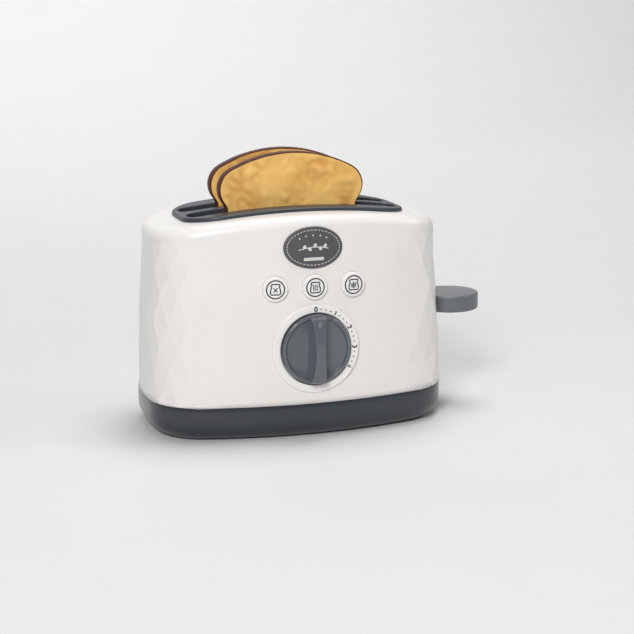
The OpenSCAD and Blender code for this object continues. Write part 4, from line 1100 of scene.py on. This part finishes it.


def slice_outline(count=240):
    """Outline of a slice in (x, z) from its foot; the top arc runs tangent into both lobes."""
    half = SLICE_W / 2
    lobe_x, drop = half - LOBE_R + LOBE_OUT, LOBE_R + LOBE_SHOULDER
    lobe_z = SLICE_H - drop
    crust_r = (lobe_x ** 2 + drop ** 2 - LOBE_R ** 2) / (2 * LOBE_SHOULDER)
    crust_z = SLICE_H - crust_r
    lean = lobe_x / (lobe_z - crust_z)

    def inside(x, z):
        if abs(x) <= half and 0 <= z <= lobe_z:
            return True
        if math.hypot(abs(x) - lobe_x, z - lobe_z) <= LOBE_R:
            return True
        return (z > lobe_z and abs(x) <= (z - crust_z) * lean
                and math.hypot(x, z - crust_z) <= crust_r)

    pts = []
    for i in range(count):
        a = 2 * math.pi * i / count
        dx, dz = math.cos(a), math.sin(a)
        best = 0.0
        for step in range(1, 900):  # outwards in steps of 0.1 mm, up to the edge
            t = step * 0.1
            if not inside(dx * t, SLICE_MID + dz * t):
                break
            best = t
        pts.append((dx * best, SLICE_MID + dz * best))
    for _ in range(2):  # smooths the steps
        pts = [((pts[i - 1][0] + 2 * pts[i][0] + pts[(i + 1) % count][0]) / 4,
                (pts[i - 1][1] + 2 * pts[i][1] + pts[(i + 1) % count][1]) / 4)
               for i in range(count)]
    return pts


def build_slice(side, name, body, node):
    """Slice with a rounded crust edge and lumpy faces, coloured by 'crust', and by 'hollow', which
    paints shade into the hollows.
    """
    seed = 11 if side < 0 else 47
    y_mid = side * SLOT_PITCH / 2
    z0 = BODY_H + SLICE_SHOW - SLICE_H
    half, edge = SLICE_T / 2, 1.3
    crust_w, full_at = 2.5, 5.0  # distances from the edge: end of the crust, deepest hollows
    lump_size, broad_size = 0.13, 0.045  # noise cells in a mm
    outline = slice_outline()
    # rings from the edge to the middle, closer together round the edge
    shares = [1.0, 0.998, 0.992, 0.982, 0.968] + [0.95 - 0.0283 * i for i in range(33)]
    rings, crusts, hollow_shades = [], [], []

    def level(d):
        """Half of the thickness at a distance from the edge."""
        if d >= edge:
            return half
        return half - (edge - math.sqrt(max(0.0, edge * edge - max(0.0, edge - d) ** 2)))

    def point(px, pz, q, sign):
        x, z = px * q, SLICE_MID + (pz - SLICE_MID) * q
        d = (1 - q) * SLICE_REACH
        lump = noise.noise(Vector((x * lump_size + seed, z * lump_size, 3.1 * sign)))
        broad = noise.noise(Vector((x * broad_size + seed, z * broad_size, 7.7 * sign)))
        # rounded bumps with creases between them, weaker where the broad noise is low
        bump = min(1.0, 2.4 * (math.sqrt(lump * lump + 0.014) - 0.118))
        strength = 0.55 + 0.9 * max(-0.5, min(0.5, broad))
        low = min(1.0, d / full_at) * strength * (1 - bump)
        # painted shade: deeper points take more of the browner colour
        hollow_shades.append(max(0.0, min(1.0, HOLLOW_SHADE_TINT * low)))
        return (x + SLICE_X, y_mid + sign * (level(d) - HOLLOW_DEPTH * low), z + z0)

    for sign, qs in ((1, shares[::-1]), (-1, shares)):
        for q in qs:
            rings.append([point(px, pz, q, sign) for px, pz in outline])
            crusts += [max(0.0, 1 - (1 - q) * SLICE_REACH / crust_w)] * len(outline)
    obj = loft(name, rings)
    for attribute, values in (("crust", crusts), ("hollow", hollow_shades)):
        obj.data.attributes.new(attribute, "FLOAT", "POINT").data.foreach_set("value", values)
    part(obj, bread_mat, body, "bread_plastic", node)


build_slice(-1, "toast_front", "front_bread", "bread_slice_front")
build_slice(1, "toast_rear", "rear_bread", "bread_slice_rear")


# ================= lever =================
def build_lever():
    """Round paddle, cut flat beside the wall, with its screw's hole from below."""
    edge, low, high = 1.1, -PADDLE_T / 2, PADDLE_T / 2
    flat_x = LEVER_X + 1.6
    hole_x, hole_r = LEVER_X + NECK_OUT - 3.5, 2.6
    prof = [(0, low)]
    prof += [(PADDLE_R - edge + edge * sind(t), low + edge * (1 - cosd(t)))
             for t in range(0, 91, 15)]
    prof += [(PADDLE_R - edge + edge * cosd(t), high - edge + edge * sind(t))
             for t in range(0, 91, 15)]
    prof += [(0, high)]
    obj = lathe("lever_grip", prof, (LEVER_X + LEVER_OUT, 0, LEVER_Z), "z", 128)
    flat = block("c_flat", (flat_x - 60, -40, LEVER_Z - 20), (flat_x, 40, LEVER_Z + 20))
    hole = lathe("c_hole", [(0, 2 * low), (hole_r, 2 * low), (hole_r, low + 1), (0, low + 1)],
                 (hole_x, 0, LEVER_Z), "z", 32)
    cut(obj, [flat, hole])
    sharpen(obj, 35)
    part(obj, lever_mat, "lift", "lever_grey", "lever_paddle")


build_lever()


# ================= stage, light and camera =================
def build_floor():
    """Pale floor that sweeps up behind the object."""
    half_w, far, sweep_r, drop = 8000.0, 1600.0, 1400.0, 0.2
    profile = [(-6000.0, 0.0), (-2000.0, 0.0), (0.0, 0.0), (far, 0.0)]
    profile += [(far + sweep_r * sind(t), sweep_r * (1 - cosd(t))) for t in range(6, 91, 6)]
    profile += [(far + sweep_r, 5000.0)]
    verts = [(x, y, z - drop) for y, z in profile for x in (-half_w, half_w)]
    faces = [(2 * i, 2 * i + 1, 2 * i + 3, 2 * i + 2) for i in range(len(profile) - 1)]
    floor = new_object("floor", verts, faces)
    dress(floor, plastic("floor_pale", (0.69, 0.69, 0.69), 0.75, grain=0.05, tint=0.005))


def area(name, place, target, size, power):
    data = bpy.data.lights.new(name, "AREA")
    data.shape = "RECTANGLE"
    data.size, data.size_y = size
    data.energy = power
    obj = bpy.data.objects.new(name, data)
    obj.location = place
    aim = Vector(target) - Vector(place)
    obj.rotation_euler = aim.to_track_quat("-Z", "Y").to_euler()
    bpy.context.scene.collection.objects.link(obj)


def build_lights():
    world = bpy.context.scene.world or bpy.data.worlds.new("studio")
    bpy.context.scene.world = world
    world.use_nodes = True
    background = world.node_tree.nodes["Background"]
    socket(background, "Color", (1.0, 1.0, 1.0, 1))
    socket(background, "Strength", 0.28)
    area("key", (-1.05, -1.95, 1.45), (0, 0, 0.06), (0.7, 0.7), 42.0)
    area("top", (0.3, 0.2, 1.9), (0, 0, 0.1), (1.0, 0.8), 18.5)
    area("right", (1.7, -0.5, 1.2), (0.05, 0, 0.08), (0.3, 0.3), 4.5)
    area("backdrop", (0.0, 1.3, 1.9), (0.0, 3.2, 0.8), (3.0, 1.0), 40.0)


def build_camera():
    """The photograph's view: focal length, place and turn come from a fit to the photo."""
    data = bpy.data.cameras.new("camera")
    data.lens = 95.73
    data.sensor_width = 36.0
    data.sensor_fit = "HORIZONTAL"
    data.clip_start = 0.01
    cam = bpy.data.objects.new("camera", data)
    bpy.context.scene.collection.objects.link(cam)
    yaw, pitch, roll = math.radians(17.34), math.radians(12.22), math.radians(0.38)
    fwd = Vector((math.sin(yaw) * math.cos(pitch), math.cos(yaw) * math.cos(pitch),
                  -math.sin(pitch)))
    right = Vector((math.cos(yaw), -math.sin(yaw), 0))
    down = fwd.cross(right)
    img_right = math.cos(roll) * right + math.sin(roll) * down
    img_down = -math.sin(roll) * right + math.cos(roll) * down
    turn = Matrix((img_right, -img_down, -fwd)).transposed().to_4x4()
    cam.matrix_world = Matrix.Translation((-0.29913, -1.01966, 0.29437)) @ turn
    bpy.context.scene.camera = cam


build_floor()
build_lights()
build_camera()
bpy.context.scene.view_settings.view_transform = "Standard"
